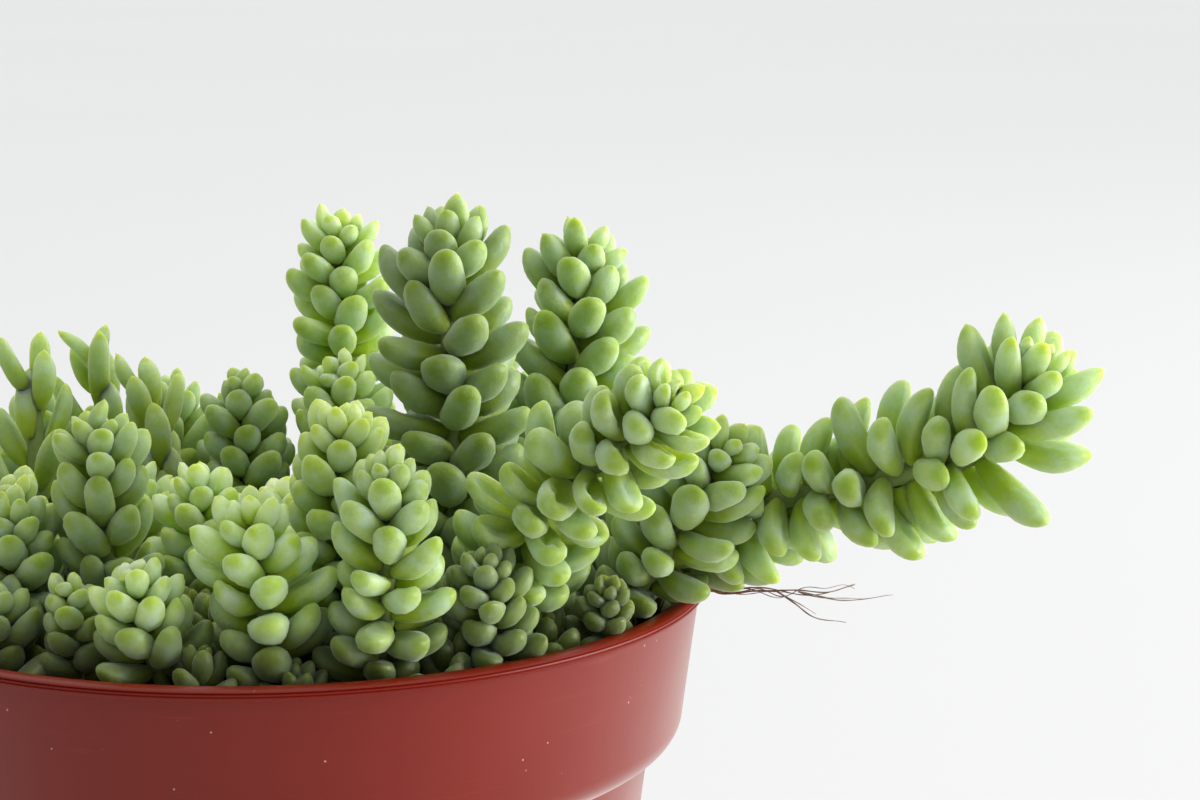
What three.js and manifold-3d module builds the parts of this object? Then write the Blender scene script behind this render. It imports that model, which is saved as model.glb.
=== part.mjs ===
// A burro's tail succulent in a round plastic nursery pot. Millimetres, +Z up.
//
// The origin is the centre of the pot's flat underside. The plant is looked at along +Y, and its
// long branch reaches out over the rim along +X. The pot, the soil, each leafy stem, the dry roots
// and each fallen leaf are solids of their own. A stem stands in a plain hole in the soil, and its
// leaves are raised from its skin in a spiral. A leaf that would touch something is closed up
// towards its stem, turned, shortened or left out.

import * as THREE from 'three';
import { mergeVertices } from 'three/addons/utils/BufferGeometryUtils.js';
import Module from 'manifold-3d';

const wasm = await Module();
wasm.setup();

// ---- Driving dimensions ----

const GAP = 0.35; // clearance between neighbouring solids
const OWN_GAP = 0.05; // clearance between the leaves of one stem

const POT_HEIGHT = 100;
const RIM_RADIUS = 60;
const WALL = 1.8;
const FLOOR = 2.4;
const WALL_LEAN = 0.135; // how far the wall leans out for each millimetre of height
const BAND_HEIGHT = 23.5; // the wider band under the rim
const BAND_CORNER = 4.6; // radius of the band's lower edge, where the wall steps in
const LIP_HEIGHT = 1.5;
const LIP_PROUD = 0.8; // how far the lip stands out from the band
const LIP_EDGE = 0.4; // chamfer along the top of the rim
const FOOT_CHAMFER = 1.6;
const DRAIN_HOLES = 6;
const DRAIN_RADIUS = 3.4;
const DRAIN_CIRCLE = 31;
const DRAIN_SIDES = 8;
const POT_SIDES = 40;

const SOIL_EDGE = 93; // height of the soil at the wall
const SOIL_CROWN = 2.5; // how much higher the soil is in the middle
const SOIL_SIDES = 24;
const BURIED = 8; // length of each stem below the soil
const HOLE_SPARE = 0.9; // by how much a hole is wider than its stem, all round
const HOLE_SIDES = 5;

const GOLDEN_ANGLE = Math.PI * (3 - Math.sqrt(5));

// Sizes of a stem and its leaves, as shares of the length of its full-grown leaves.
const STALK_RADIUS = 0.15; // the bare stalk in the soil
const CORE_RADIUS = 0.3; // the leaf bases packed round the stalk, which the leaves stand out of
const CORE_TAPER = 0.9; // length at the tip over which the core gets thinner
const BARE_STALK = 0.2; // length of bare stalk above the soil
const LEAF_SPACING = 0.145; // stem length for each full-grown leaf
const LEAF_REACH = 0.85; // length of a leaf from the core outward
const LEAF_WIDTH = 0.56;
const CROWN_INSET = 0.22; // how far the leaves at the tip reach past the end of the stem
const BUD_HEIGHT = 0.1; // how far the bud stands over the end of the stem

const TIP_CORE = 0.45; // radius of the core at the tip, as a share of that lower down
const TIP_SPACING = 0.45; // spacing of the youngest leaves, as a share of the full-grown ones'
const TIP_LEAF = 0.5; // length of the youngest leaves, as a share of a full-grown one
const CORE_ROOM = 0.6; // clearance that other stems keep from the core

const LEAF_THICKNESS = 0.82; // thickness of a leaf, as a share of its width
const LEAF_CURL = 0.2; // how far a leaf's tip curls up, as a share of its length
const TIP_ANGLE = 16; // degrees between the stem and the youngest leaves
const LOW_ANGLE = 90; // degrees between the stem and the oldest leaves
const OPENING_LENGTH = 12; // distance from the tip over which the leaves open out
const GROWING_LENGTH = 6; // distance from the tip over which they reach their full length
const SIZE_SPREAD = 0.07; // by how much leaves differ in length, as a share of it
const ANGLE_SPREAD = 5; // by how many degrees they differ in how far they stand out

// How a slender stem differs from a sturdy one: degrees between it and its oldest leaves, and the
// width and spacing of its leaves and the radius of its core as shares of a sturdy stem's.
const STURDY = { low: LOW_ANGLE, width: 1, spacing: 1, core: 1 };
const SLENDER = { low: 42, width: 0.66, spacing: 1.3, core: 0.66 };

// Where the two rings of a leaf's corners lie along it, and how wide they are, as shares of its
// length and its width.
const INNER_RING = { at: 0.42, radius: 0.55, turn: 0 };
const OUTER_RING = { at: 0.8, radius: 0.47, turn: 0.5 };

// The balls that stand for a leaf where it is tested for what it would touch.
const BALLS_AT = [0.2, 0.45, 0.7];
const BALL_RADIUS = 0.53;

// ---- The stems ----

// The middle line of each stem: where it leaves the soil, then points on the way to its tip.
// leaf is the length of its full-grown leaves. The stems that stand free come first, because the
// ones after them give way where two stems meet.
const STEMS = {
  branch_trailing: {
    leaf: 11.6,
    line: [[46, -4], [48, -5, 99], [64, -13, 111.5], [82, -21, 117.5], [95.6, -28, 124], [101.8, -31, 139.4]],
  },
  branch_arching: { leaf: 9.8, line: [[31, -24], [36, -35, 114], [45.8, -44, 125.5], [56.6, -55, 136]] },
  stem_centre: { leaf: 11, line: [[25, -5], [24.6, -2, 125], [24, 0, 152]] },
  stem_back_left: { leaf: 8.4, line: [[7, 35], [6.2, 38, 121], [5.4, 39, 147]] },
  stem_back_right: { leaf: 10, line: [[38, 16], [41, 20, 121], [43.3, 23, 147]] },
  stem_front: { leaf: 8.4, line: [[17, -43], [19, -48, 110], [19.5, -50, 128.5]] },
  stem_front_left: { leaf: 9, line: [[5, -42], [3.4, -45, 106], [1.6, -47, 122]] },
  stem_front_inner: { leaf: 8.4, line: [[11, -29], [11, -33, 113], [13.6, -37, 131]] },
  stem_left: { leaf: 9, line: [[-18, -26], [-19, -29, 112], [-19.4, -31, 130]] },
  stem_right_rim: { leaf: 9.2, line: [[45, -15], [54, -20.5, 108], [63.5, -26, 126.5]] },
  stem_low_left: { leaf: 8, line: [[-9, -44], [-10.8, -47, 102], [-12.4, -49, 114.5]] },
  sprout_left: { leaf: 6, line: [[-20, -41], [-21.6, -43, 110.8]] },
  stem_far_left: { leaf: 8.8, line: [[-31, -26], [-30.5, -30, 109], [-30.4, -32, 118.5]] },
  stem_edge_left: { leaf: 8.2, line: [[-31, -38], [-32, -40, 109.5]] },
  stem_mid_right: { leaf: 7.2, line: [[31, -38], [31, -42, 104], [30.6, -44, 114.6]] },
  sprout_right: { leaf: 5.8, line: [[45, -29], [46, -33, 107.4]] },
  stem_inner_left: { leaf: 7.8, line: [[-8, -12], [-9, -14, 119]] },
  stem_inner_front: { leaf: 7.6, line: [[2, -14], [3, -17, 117.5]] },
  stem_dark_bud: { leaf: 7.6, line: [[-5, 12], [-6.6, 15, 127]] },
  stem_back_short: { leaf: 8, line: [[8, 17], [7.5, 16, 129.5]] },
  stem_upright_left: { leaf: 11, slender: true, line: [[-28, 27], [-30, 29, 129]] },
  stem_upright_edge: { leaf: 11, slender: true, line: [[-36, 12], [-36.5, 16, 130]] },
  stem_pale_thin: { leaf: 10, slender: true, line: [[-17, 19], [-22, 23, 126]] },
  stem_inner_edge: { leaf: 8.4, line: [[-34, -10], [-35, -12, 117.5]] },
  stem_middle_left: { leaf: 8.2, line: [[-20, 2], [-21, 3, 116]] },
  stem_middle: { leaf: 8.2, line: [[10, 1], [10, 1, 118.5]] },
  stem_middle_right: { leaf: 8.8, line: [[38, 0], [41, 0, 120]] },
  stem_behind_centre: { leaf: 9.6, line: [[23, 22], [24, 25, 131]] },
  stem_back_middle: { leaf: 10, line: [[24, 41], [27, 46, 128]] },
  stem_back_dark: { leaf: 8.4, line: [[-9, 37], [-10, 41, 119]] },
  stem_side_left: { leaf: 9.6, line: [[-47, -18], [-51, -20, 117]] },
  stem_side_edge: { leaf: 9.6, line: [[-48, 0], [-55, 1, 116]] },
  stem_side_back: { leaf: 10, line: [[-47, 18], [-53, 21, 122]] },
  stem_back_edge: { leaf: 10, line: [[-37, 34], [-41, 39, 120]] },
  stem_rear_left: { leaf: 9.6, line: [[-21, 44], [-23, 51, 120]] },
  stem_rear: { leaf: 9.6, line: [[8, 49], [9, 54, 117]] },
  stem_rear_right: { leaf: 10, line: [[38, 31], [42, 35, 105], [49, 41, 124]] },
  stem_side_right: { leaf: 9.2, line: [[48, 11], [52, 12, 105], [60, 14, 118]] },
};

// The stems whose leaves are yellower than the others'.
const YELLOW_STEMS = ['stem_front_inner', 'stem_inner_front', 'stem_inner_edge', 'stem_pale_thin'];

// Leaves that have dropped: where the middle of each lies, how far it is turned and tipped up.
const FALLEN_LEAVES = [
  { at: [8, -51.5], length: 7.6, turn: 100, tip: 24 },
  { at: [-3, -52], length: 7, turn: 12, tip: 18 },
  { at: [25, -47], length: 7.4, turn: -28, tip: 26 },
  { at: [-27, -45], length: 7.6, turn: 40, tip: 22 },
  { at: [39, -37], length: 7, turn: -150, tip: 24 },
];

// The dry roots that lie over the rim beside the trailing branch, from where they leave the soil.
const ROOT_THICK = 0.55; // radius of the main strand where it leaves the soil
const ROOT_THIN = 0.32; // radius of every strand's end
const ROOT_SIDES = 5;
const ROOT_STEPS = 7; // rings of corners along each strand
const ROOT_STRANDS = [
  [[51, -14], [54, -14, 100.6], [57.6, -13.9, 101.5], [61.5, -13.6, 100.4], [70, -12.5, 100.2], [79.7, -12, 100.6]],
  [[72, -12.4, 100.2], [77.5, -11.6, 98.7], [81.5, -11.2, 98.5], [85, -11.5, 99.3]],
  [[69, -12.6, 100.2], [71.5, -13, 98.6], [74.2, -13.4, 97], [78.4, -13.6, 95.9]],
];

// ---- Materials ----

const finish = (color, roughness) => new THREE.MeshStandardMaterial({ color, roughness, metalness: 0 });

const POT_PLASTIC = finish(0x9c3f36, 0.42);
const POTTING_SOIL = finish(0x2c221b, 0.95);
const GREY_GREEN_LEAF = finish(0x8fae7b, 0.6);
const YELLOW_GREEN_LEAF = finish(0xa9bf78, 0.6);
const DULL_LEAF = finish(0x66765a, 0.7);
const DRY_ROOT = finish(0x5a3a31, 0.9);

// ---- Solids ----

const MERGED = 1e-4; // corners nearer than this are one

// A closed geometry as a solid whose triangles share their corners.
function solid(geometry) {
  const bare = geometry.clone();
  bare.deleteAttribute('normal');
  bare.deleteAttribute('uv');
  const merged = mergeVertices(bare, MERGED);
  const corners = merged.index.array;
  const kept = [];
  for (let i = 0; i < corners.length; i += 3) {
    const [a, b, c] = corners.slice(i, i + 3);
    if (a !== b && b !== c && c !== a) kept.push(a, b, c);
  }
  const mesh = new wasm.Mesh({
    numProp: 3,
    vertProperties: new Float32Array(merged.attributes.position.array),
    triVerts: new Uint32Array(kept),
  });
  return new wasm.Manifold(mesh);
}

// The largest closed surface of a solid: its outside, without hollows sealed in it or loose scraps.
function outside(body) {
  const surfaces = body.decompose();
  return surfaces.reduce((largest, next) => (next.volume() > largest.volume() ? next : largest));
}

function named(name, body, material) {
  const { vertProperties, triVerts } = body.getMesh();
  const geometry = new THREE.BufferGeometry();
  geometry.setAttribute('position', new THREE.BufferAttribute(new Float32Array(vertProperties), 3));
  geometry.setIndex(new THREE.BufferAttribute(new Uint32Array(triVerts), 1));
  geometry.computeVertexNormals();
  const mesh = new THREE.Mesh(geometry, material);
  mesh.name = name;
  return mesh;
}

// A profile of [radius, height] pairs turned about +Z.
function turned(profile, sides) {
  const geometry = new THREE.LatheGeometry(profile.map(([r, z]) => new THREE.Vector2(r, z)), sides);
  return geometry.rotateX(Math.PI / 2);
}

function arc(r, z, radius, from, to, steps) {
  return upTo(steps + 1).map((i) => {
    const angle = THREE.MathUtils.degToRad(from + ((to - from) * i) / steps);
    return [r + radius * Math.cos(angle), z + radius * Math.sin(angle)];
  });
}

const LARGEST_STATE = 2 ** 31 - 1;
const STATE_FACTOR = 7 ** 5;

// A number from 0 to 1 at each call, the same ones for the same seed.
function seeded(seed) {
  let state = seed;
  return () => {
    state = (state * STATE_FACTOR) % LARGEST_STATE;
    return state / LARGEST_STATE;
  };
}

// The whole numbers from 0 up to one less than the count.
const upTo = (count) => Array.from({ length: count }, (_, i) => i);

// ---- The pot ----

const bandRadius = (z) => RIM_RADIUS - LIP_PROUD - (POT_HEIGHT - z) * WALL_LEAN;
const bandBottom = POT_HEIGHT - BAND_HEIGHT;
const cornerHeight = bandBottom + BAND_CORNER;
const shoulderRadius = bandRadius(cornerHeight) - BAND_CORNER;
const footRadius = shoulderRadius - bandBottom * WALL_LEAN;
const ledge = bandBottom + WALL;

// The inner face of the pot, from its floor up to the rim.
const POT_INSIDE = [
  [footRadius - WALL, FLOOR],
  [shoulderRadius - WALL, ledge],
  ...arc(shoulderRadius, cornerHeight, BAND_CORNER - WALL, -90, 0, 3),
  [bandRadius(POT_HEIGHT) - WALL, POT_HEIGHT],
];

function pot() {
  const lipBottom = POT_HEIGHT - LIP_HEIGHT;
  const profile = [
    [0, 0],
    [footRadius - FOOT_CHAMFER, 0],
    [footRadius, FOOT_CHAMFER],
    ...arc(shoulderRadius, cornerHeight, BAND_CORNER, -90, 0, 4),
    [bandRadius(lipBottom), lipBottom],
    [RIM_RADIUS, lipBottom + LIP_EDGE],
    [RIM_RADIUS, POT_HEIGHT - LIP_EDGE],
    [RIM_RADIUS - LIP_EDGE, POT_HEIGHT],
    ...POT_INSIDE.toReversed(),
    [0, FLOOR],
  ];
  let body = solid(turned(profile, POT_SIDES));
  const drain = new THREE.CylinderGeometry(DRAIN_RADIUS, DRAIN_RADIUS, 3 * FLOOR, DRAIN_SIDES);
  drain.rotateX(Math.PI / 2);
  for (const i of upTo(DRAIN_HOLES)) {
    const angle = (2 * Math.PI * i) / DRAIN_HOLES;
    const hole = drain.clone().translate(DRAIN_CIRCLE * Math.cos(angle), DRAIN_CIRCLE * Math.sin(angle), 0);
    body = body.subtract(solid(hole));
  }
  return named('pot', body, POT_PLASTIC);
}

// ---- The soil ----

const soilRadius = bandRadius(SOIL_EDGE) - WALL - GAP;
const soilHeight = (r) => SOIL_EDGE + SOIL_CROWN * (1 - (r / soilRadius) ** 2);

function soil(rooted) {
  const profile = [
    [0, FLOOR + GAP],
    ...POT_INSIDE.slice(0, -1).map(([r, z]) => [r - GAP, z + GAP]),
    ...[1, 0.5, 0].map((share) => [soilRadius * share, soilHeight(soilRadius * share)]),
  ];
  let body = solid(turned(profile, SOIL_SIDES));
  for (const { root, stalk } of rooted) {
    const depth = BURIED + 2 * GAP;
    const radius = stalk + HOLE_SPARE;
    const hole = new THREE.CylinderGeometry(radius, radius, 2 * depth, HOLE_SIDES);
    body = body.subtract(solid(hole.rotateX(Math.PI / 2).translate(root.x, root.y, root.z)));
  }
  return named('soil', body, POTTING_SOIL);
}

// ---- Curved stems and strands ----

// A curve whose first point stands on the soil where it gives no height of its own.
function path(points) {
  const [[x, y, z = soilHeight(Math.hypot(x, y))], ...rest] = points;
  const line = [new THREE.Vector3(x, y, z), ...rest.map((point) => new THREE.Vector3(...point))];
  return new THREE.CatmullRomCurve3(line);
}

// The middle line at a distance from its start, with a side and a front square to it. Before its
// start it goes straight down into the soil.
function frameAt(curve, distance) {
  const share = THREE.MathUtils.clamp(distance / curve.getLength(), 0, 1);
  const point = curve.getPointAt(share);
  const along = distance < 0 ? new THREE.Vector3(0, 0, 1) : curve.getTangentAt(share);
  if (distance < 0) point.z += distance;
  const side = new THREE.Vector3().crossVectors(along, new THREE.Vector3(0, 1, 0)).normalize();
  const front = new THREE.Vector3().crossVectors(side, along);
  return { point, along, side, front };
}

// A round body that follows a curve: the profile is pairs of radius and distance along it.
function followed(curve, profile, sides) {
  const points = profile.map(([radius, distance]) => new THREE.Vector2(radius, distance));
  const geometry = new THREE.LatheGeometry(points, sides);
  const position = geometry.attributes.position;
  for (let i = 0; i < position.count; i++) {
    const { point, side, front } = frameAt(curve, position.getY(i));
    point.addScaledVector(side, position.getX(i)).addScaledVector(front, position.getZ(i));
    position.setXYZ(i, point.x, point.y, point.z);
  }
  return solid(geometry);
}

// ---- Leaves ----

const flat = (a, b, c, d) => [[a, b, c], [a, c, d]];

// A mesh of triangles that share their corners, where each corner is one vector object.
function skinMesh(name, triangles, material) {
  const corners = [...new Set(triangles.flat())];
  const numbers = new Map(corners.map((corner, number) => [corner, number]));
  const geometry = new THREE.BufferGeometry().setFromPoints(corners);
  geometry.setIndex(triangles.flat().map((corner) => numbers.get(corner)));
  geometry.computeVertexNormals();
  const mesh = new THREE.Mesh(geometry, material);
  mesh.name = name;
  return mesh;
}

// Whether an edge of one triangle passes through the other one, where they share no end of it.
function pierces(edges, triangle) {
  const ray = new THREE.Ray();
  const hit = new THREE.Vector3();
  return upTo(3).some((i) => {
    const from = edges[i];
    const to = edges[(i + 1) % 3];
    if (triangle.includes(from) || triangle.includes(to)) return false;
    ray.origin.copy(from);
    ray.direction.subVectors(to, from).normalize();
    return ray.intersectTriangle(...triangle, false, hit) && hit.distanceTo(from) < from.distanceTo(to);
  });
}

const NEARBY = 1.6; // how far off triangles are looked at, in lengths of the new ones

// Whether any of some new triangles crosses another of them, or one that stands near them.
function crosses(added, standing) {
  const middle = added[0][0];
  const reach = NEARBY * Math.max(...added.flat().map((corner) => corner.distanceTo(middle)));
  const near = standing.filter((triangle) => triangle.some((corner) => corner.distanceTo(middle) < reach));
  return added.some((a) => [...near, ...added].some((b) => pierces(a, b) || pierces(b, a)));
}

// A point of a leaf's middle line, at a share of its length. The line curls upward.
function leafMiddle({ root, outward, upward, length }, share) {
  return root
    .clone()
    .addScaledVector(outward, share * length)
    .addScaledVector(upward, LEAF_CURL * length * share * share);
}

// The triangles that raise a leaf from its foot, which is the four corners of a cell or one point:
// two rings of four corners, the outer one turned by half a side, and the tip.
function leafFaces(foot, leaf) {
  const across = new THREE.Vector3().crossVectors(leaf.outward, leaf.upward);
  const ring = ({ at, radius, turn }) => upTo(4).map((i) => {
    const angle = (i + turn) * (Math.PI / 2);
    return leafMiddle(leaf, at)
      .addScaledVector(across, -radius * leaf.width * Math.sin(angle))
      .addScaledVector(leaf.upward, -radius * leaf.width * LEAF_THICKNESS * Math.cos(angle));
  });
  const inner = ring(INNER_RING);
  const outer = ring(OUTER_RING);
  const tip = leafMiddle(leaf, 1);
  return upTo(4).flatMap((i) => {
    const next = (i + 1) % 4;
    const low = foot[i % foot.length];
    const lowNext = foot[next % foot.length];
    return [
      ...(low === lowNext ? [] : [[low, lowNext, inner[next]]]),
      [low, inner[next], inner[i]],
      [inner[i], inner[next], outer[i]],
      [inner[next], outer[next], outer[i]],
      [outer[i], outer[next], tip],
    ];
  });
}

function leafBalls(leaf) {
  return BALLS_AT.map((share) => ({ centre: leafMiddle(leaf, share), radius: BALL_RADIUS * leaf.width }));
}

const taken = []; // balls of what stands in place already

function isFree(balls, owner) {
  const wall = (bandRadius(SOIL_EDGE) - WALL) * Math.cos(Math.PI / POT_SIDES) - GAP;
  return balls.every(({ centre, radius }) => {
    const reach = Math.hypot(centre.x, centre.y);
    const lowest = centre.z - radius;
    const overRim = lowest > POT_HEIGHT + GAP;
    const overSoil = reach + radius < wall && lowest > soilHeight(Math.min(reach, soilRadius)) + GAP;
    const isClear = (ball) => {
      if (ball.owner === owner && ball.isCore) return true;
      const gap = ball.owner === owner ? OWN_GAP : GAP;
      return ball.centre.distanceTo(centre) > ball.radius + radius + gap;
    };
    return (overRim || overSoil) && taken.every(isClear);
  });
}

// The ways a leaf may give way, mildest first: closed up by some degrees, turned by some, shortened.
const WAYS = [1, 0.86, 0.72].flatMap((scale) => (
  [0, -14, 14, -28, -42].flatMap((close) => [0, 12, -12, 24, -24].map((turn) => ({ close, turn, scale })))
));

// ---- The leafy stems ----

// The corners of a stem's skin climb it in a spiral, a golden angle apart. A leaf is raised from
// the cell between corner i and the corners 2, 5 and 3 places further up.
const LEFT_STEP = 2;
const RIGHT_STEP = 3;
const TOP_STEP = LEFT_STEP + RIGHT_STEP;
const CELL_MIDDLE = (TOP_STEP * GOLDEN_ANGLE - 4 * Math.PI) / 2; // its angle from corner i

const SEED_STEP = 1009;

const stems = Object.entries(STEMS).map(([name, { leaf, slender, line }], index) => {
  const curve = path(line);
  const length = curve.getLength() - CROWN_INSET * leaf;
  const root = curve.getPoint(0);
  const habit = slender ? SLENDER : STURDY;
  const seed = SEED_STEP * (index + 1);
  return { name, leaf, habit, curve, length, root, stalk: STALK_RADIUS * habit.core * leaf, seed };
});

// How far the leaves have grown at a distance along the stem: 0 at its tip, near 1 low down.
const grown = (stem, distance) => 1 - Math.exp(-(stem.length - distance) / GROWING_LENGTH);

function coreRadius(stem, distance) {
  const taper = THREE.MathUtils.clamp((stem.length - distance) / (CORE_TAPER * stem.leaf), 0, 1);
  return CORE_RADIUS * stem.habit.core * stem.leaf * THREE.MathUtils.lerp(TIP_CORE, 1, taper);
}

// The point and the directions where a line leaves the core at some distance and angle.
function onCore(stem, distance, angle, radius) {
  const { point, along, side, front } = frameAt(stem.curve, distance);
  const radial = side.multiplyScalar(Math.cos(angle)).addScaledVector(front, Math.sin(angle));
  return { point: point.addScaledVector(radial, radius), along, radial };
}

const CORE_BALLS_APART = 2;

// Room kept round each stem's middle line, so that its own leaves find a place there.
for (const stem of stems) {
  for (let distance = 0; distance < stem.length; distance += CORE_BALLS_APART) {
    const radius = coreRadius(stem, distance) + CORE_ROOM;
    const centre = frameAt(stem.curve, distance).point;
    taken.push({ centre, radius, owner: stem.name, isCore: true });
  }
}

// The triangles of one cell: its leaf, or the bare cell where a leaf finds no room.
function raised(cell, standing, stem, distance, angle, vary) {
  const opened = 1 - Math.exp(-(stem.length - distance) / OPENING_LENGTH);
  const share = THREE.MathUtils.lerp(TIP_LEAF, 1, grown(stem, distance));
  const size = share * stem.leaf * (1 + vary(SIZE_SPREAD));
  const opening = THREE.MathUtils.lerp(TIP_ANGLE, stem.habit.low, opened) + vary(ANGLE_SPREAD);
  for (const { close, turn, scale } of WAYS) {
    const around = angle + THREE.MathUtils.degToRad(turn);
    const open = THREE.MathUtils.degToRad(opening + close);
    const { point, along } = onCore(stem, distance, angle, coreRadius(stem, distance));
    const { radial } = onCore(stem, distance, around, 0);
    const leaf = {
      root: point,
      outward: radial.clone().multiplyScalar(Math.sin(open)).addScaledVector(along, Math.cos(open)),
      upward: along.clone().multiplyScalar(Math.sin(open)).addScaledVector(radial, -Math.cos(open)),
      length: LEAF_REACH * size * scale,
      width: LEAF_WIDTH * stem.habit.width * size * scale,
    };
    const balls = leafBalls(leaf);
    const faces = leafFaces(cell, leaf);
    if (isFree(balls, stem.name) && !crosses(faces, standing)) {
      taken.push(...balls.map((ball) => ({ ...ball, owner: stem.name })));
      return faces;
    }
  }
  return flat(...cell);
}

function leafyStem(stem) {
  const random = seeded(stem.seed);
  const vary = (amount) => (random() * 2 - 1) * amount;
  const start = random() * 2 * Math.PI;
  const corners = [];
  const distances = [];
  let distance = BARE_STALK * stem.leaf;
  while (distance < stem.length) {
    const angle = start + GOLDEN_ANGLE * corners.length;
    corners.push(onCore(stem, distance, angle, coreRadius(stem, distance)).point);
    distances.push(distance);
    const crowding = THREE.MathUtils.lerp(TIP_SPACING, 1, grown(stem, distance));
    distance += LEAF_SPACING * stem.habit.spacing * stem.leaf * crowding;
  }
  const cells = upTo(corners.length - TOP_STEP).map((i) => (
    [i, i + LEFT_STEP, i + TOP_STEP, i + RIGHT_STEP].map((number) => corners[number])
  ));
  const core = cells.flatMap((cell) => flat(...cell));
  const skin = [...bottomFaces(stem, corners, start), ...topFaces(stem, corners)];
  cells.forEach((cell, i) => {
    const middle = (distances[i] + distances[i + TOP_STEP]) / 2;
    const angle = start + GOLDEN_ANGLE * i + CELL_MIDDLE;
    skin.push(...raised(cell, [...core, ...skin], stem, middle, angle, vary));
  });
  return skinMesh(stem.name, skin, YELLOW_STEMS.includes(stem.name) ? YELLOW_GREEN_LEAF : GREY_GREEN_LEAF);
}

// The stalk, from the lowest corners of the skin down into its hole.
function bottomFaces(stem, corners, start) {
  const ring = (at) => upTo(TOP_STEP).map((i) => (
    onCore(stem, at, start + GOLDEN_ANGLE * i, stem.stalk).point
  ));
  const collar = ring(0);
  const end = ring(-BURIED);
  const middle = frameAt(stem.curve, -BURIED).point;
  const edge = (a, b) => [
    ...flat(corners[a], corners[b], collar[b], collar[a]),
    ...flat(collar[a], collar[b], end[b], end[a]),
    [end[a], end[b], middle],
  ];
  return [
    ...upTo(RIGHT_STEP).flatMap((i) => edge(i + LEFT_STEP, i)),
    ...upTo(LEFT_STEP).flatMap((i) => edge(i, i + RIGHT_STEP)),
  ];
}

// The bud, a point over the highest corners of the skin.
function topFaces(stem, corners) {
  const bud = frameAt(stem.curve, stem.length + BUD_HEIGHT * stem.leaf).point;
  const top = corners.toReversed();
  return [
    ...upTo(LEFT_STEP).map((i) => [top[i], top[i + RIGHT_STEP], bud]),
    ...upTo(RIGHT_STEP).map((i) => [top[i + LEFT_STEP], top[i], bud]),
  ];
}

// ---- Fallen leaves and dry roots ----

const FOOT_TO_MIDDLE = 0.4; // from a fallen leaf's foot to the point it lies on, as a share of it

const fallen = FALLEN_LEAVES.map(({ at: [x, y], length, turn, tip }, index) => {
  const angle = THREE.MathUtils.degToRad(turn);
  const rise = THREE.MathUtils.degToRad(tip);
  const outward = new THREE.Vector3(Math.cos(angle), Math.sin(angle), 0)
    .multiplyScalar(Math.cos(rise))
    .addScaledVector(new THREE.Vector3(0, 0, 1), Math.sin(rise));
  const across = new THREE.Vector3(Math.sin(angle), -Math.cos(angle), 0);
  const upward = new THREE.Vector3().crossVectors(across, outward);
  const width = LEAF_WIDTH * length;
  const height = soilHeight(Math.hypot(x, y)) + (width * LEAF_THICKNESS) / 2 + 2 * GAP;
  const root = new THREE.Vector3(x, y, height).addScaledVector(outward, -FOOT_TO_MIDDLE * length);
  root.z = height; // its foot stays on the soil and its tip is raised
  const leaf = { root, outward, upward, length, width };
  taken.push(...leafBalls(leaf).map((ball) => ({ ...ball, owner: 'fallen' })));
  return skinMesh(`fallen_leaf_${index + 1}`, leafFaces([root], leaf), DULL_LEAF);
});

const rootStrands = ROOT_STRANDS.map(path);
const ROOT_BALLS = 16;

for (const curve of rootStrands) {
  for (const centre of curve.getSpacedPoints(ROOT_BALLS)) {
    taken.push({ centre, radius: 2 * ROOT_THICK, owner: 'dry_roots' });
  }
}

function dryRoots() {
  const strands = rootStrands.map((curve, index) => {
    const length = curve.getLength();
    const thick = index === 0 ? ROOT_THICK : ROOT_THIN;
    const rings = upTo(ROOT_STEPS + 1).map((i) => (
      [THREE.MathUtils.lerp(thick, ROOT_THIN, i / ROOT_STEPS), (length * i) / ROOT_STEPS]
    ));
    const start = index === 0 ? [[0, -BURIED], [thick, -BURIED]] : [[0, 0]];
    return followed(curve, [...start, ...rings, [0, length]], ROOT_SIDES);
  });
  return named('dry_roots', outside(strands.reduce((whole, strand) => whole.add(strand))), DRY_ROOT);
}

// ---- The whole plant in its pot ----

const leafyStems = stems.map(leafyStem);
const rooted = [...stems, { root: rootStrands[0].getPoint(0), stalk: ROOT_THICK }];

const plant = new THREE.Group();
plant.add(pot(), soil(rooted), ...leafyStems, dryRoots(), ...fallen);

export default plant;
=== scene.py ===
"""The looks of a burro's tail plant in a plastic nursery pot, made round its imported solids.

Places and sizes are in millimetres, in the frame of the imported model, until a mesh is made of them.
Its origin is the centre of the pot's underside, +Z is up, and the photograph looks along +Y.
"""

import math

import bpy
import numpy as np
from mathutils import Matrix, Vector, kdtree, noise


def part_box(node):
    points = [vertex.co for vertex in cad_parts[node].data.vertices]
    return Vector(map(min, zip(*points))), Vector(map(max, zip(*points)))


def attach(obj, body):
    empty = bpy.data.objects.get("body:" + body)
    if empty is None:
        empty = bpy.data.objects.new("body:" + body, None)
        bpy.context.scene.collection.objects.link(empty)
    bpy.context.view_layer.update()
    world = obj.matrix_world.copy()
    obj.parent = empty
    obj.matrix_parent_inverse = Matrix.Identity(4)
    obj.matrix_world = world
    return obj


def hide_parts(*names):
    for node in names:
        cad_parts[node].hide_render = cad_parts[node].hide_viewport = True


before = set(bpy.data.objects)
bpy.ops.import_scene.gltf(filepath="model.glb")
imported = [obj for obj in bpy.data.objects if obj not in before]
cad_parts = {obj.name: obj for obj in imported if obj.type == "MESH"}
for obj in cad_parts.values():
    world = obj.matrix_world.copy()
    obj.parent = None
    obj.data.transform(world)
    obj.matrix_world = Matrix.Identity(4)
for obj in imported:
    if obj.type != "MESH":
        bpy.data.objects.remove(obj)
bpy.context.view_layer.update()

MM = 0.001

# ---- Driving dimensions ----

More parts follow.
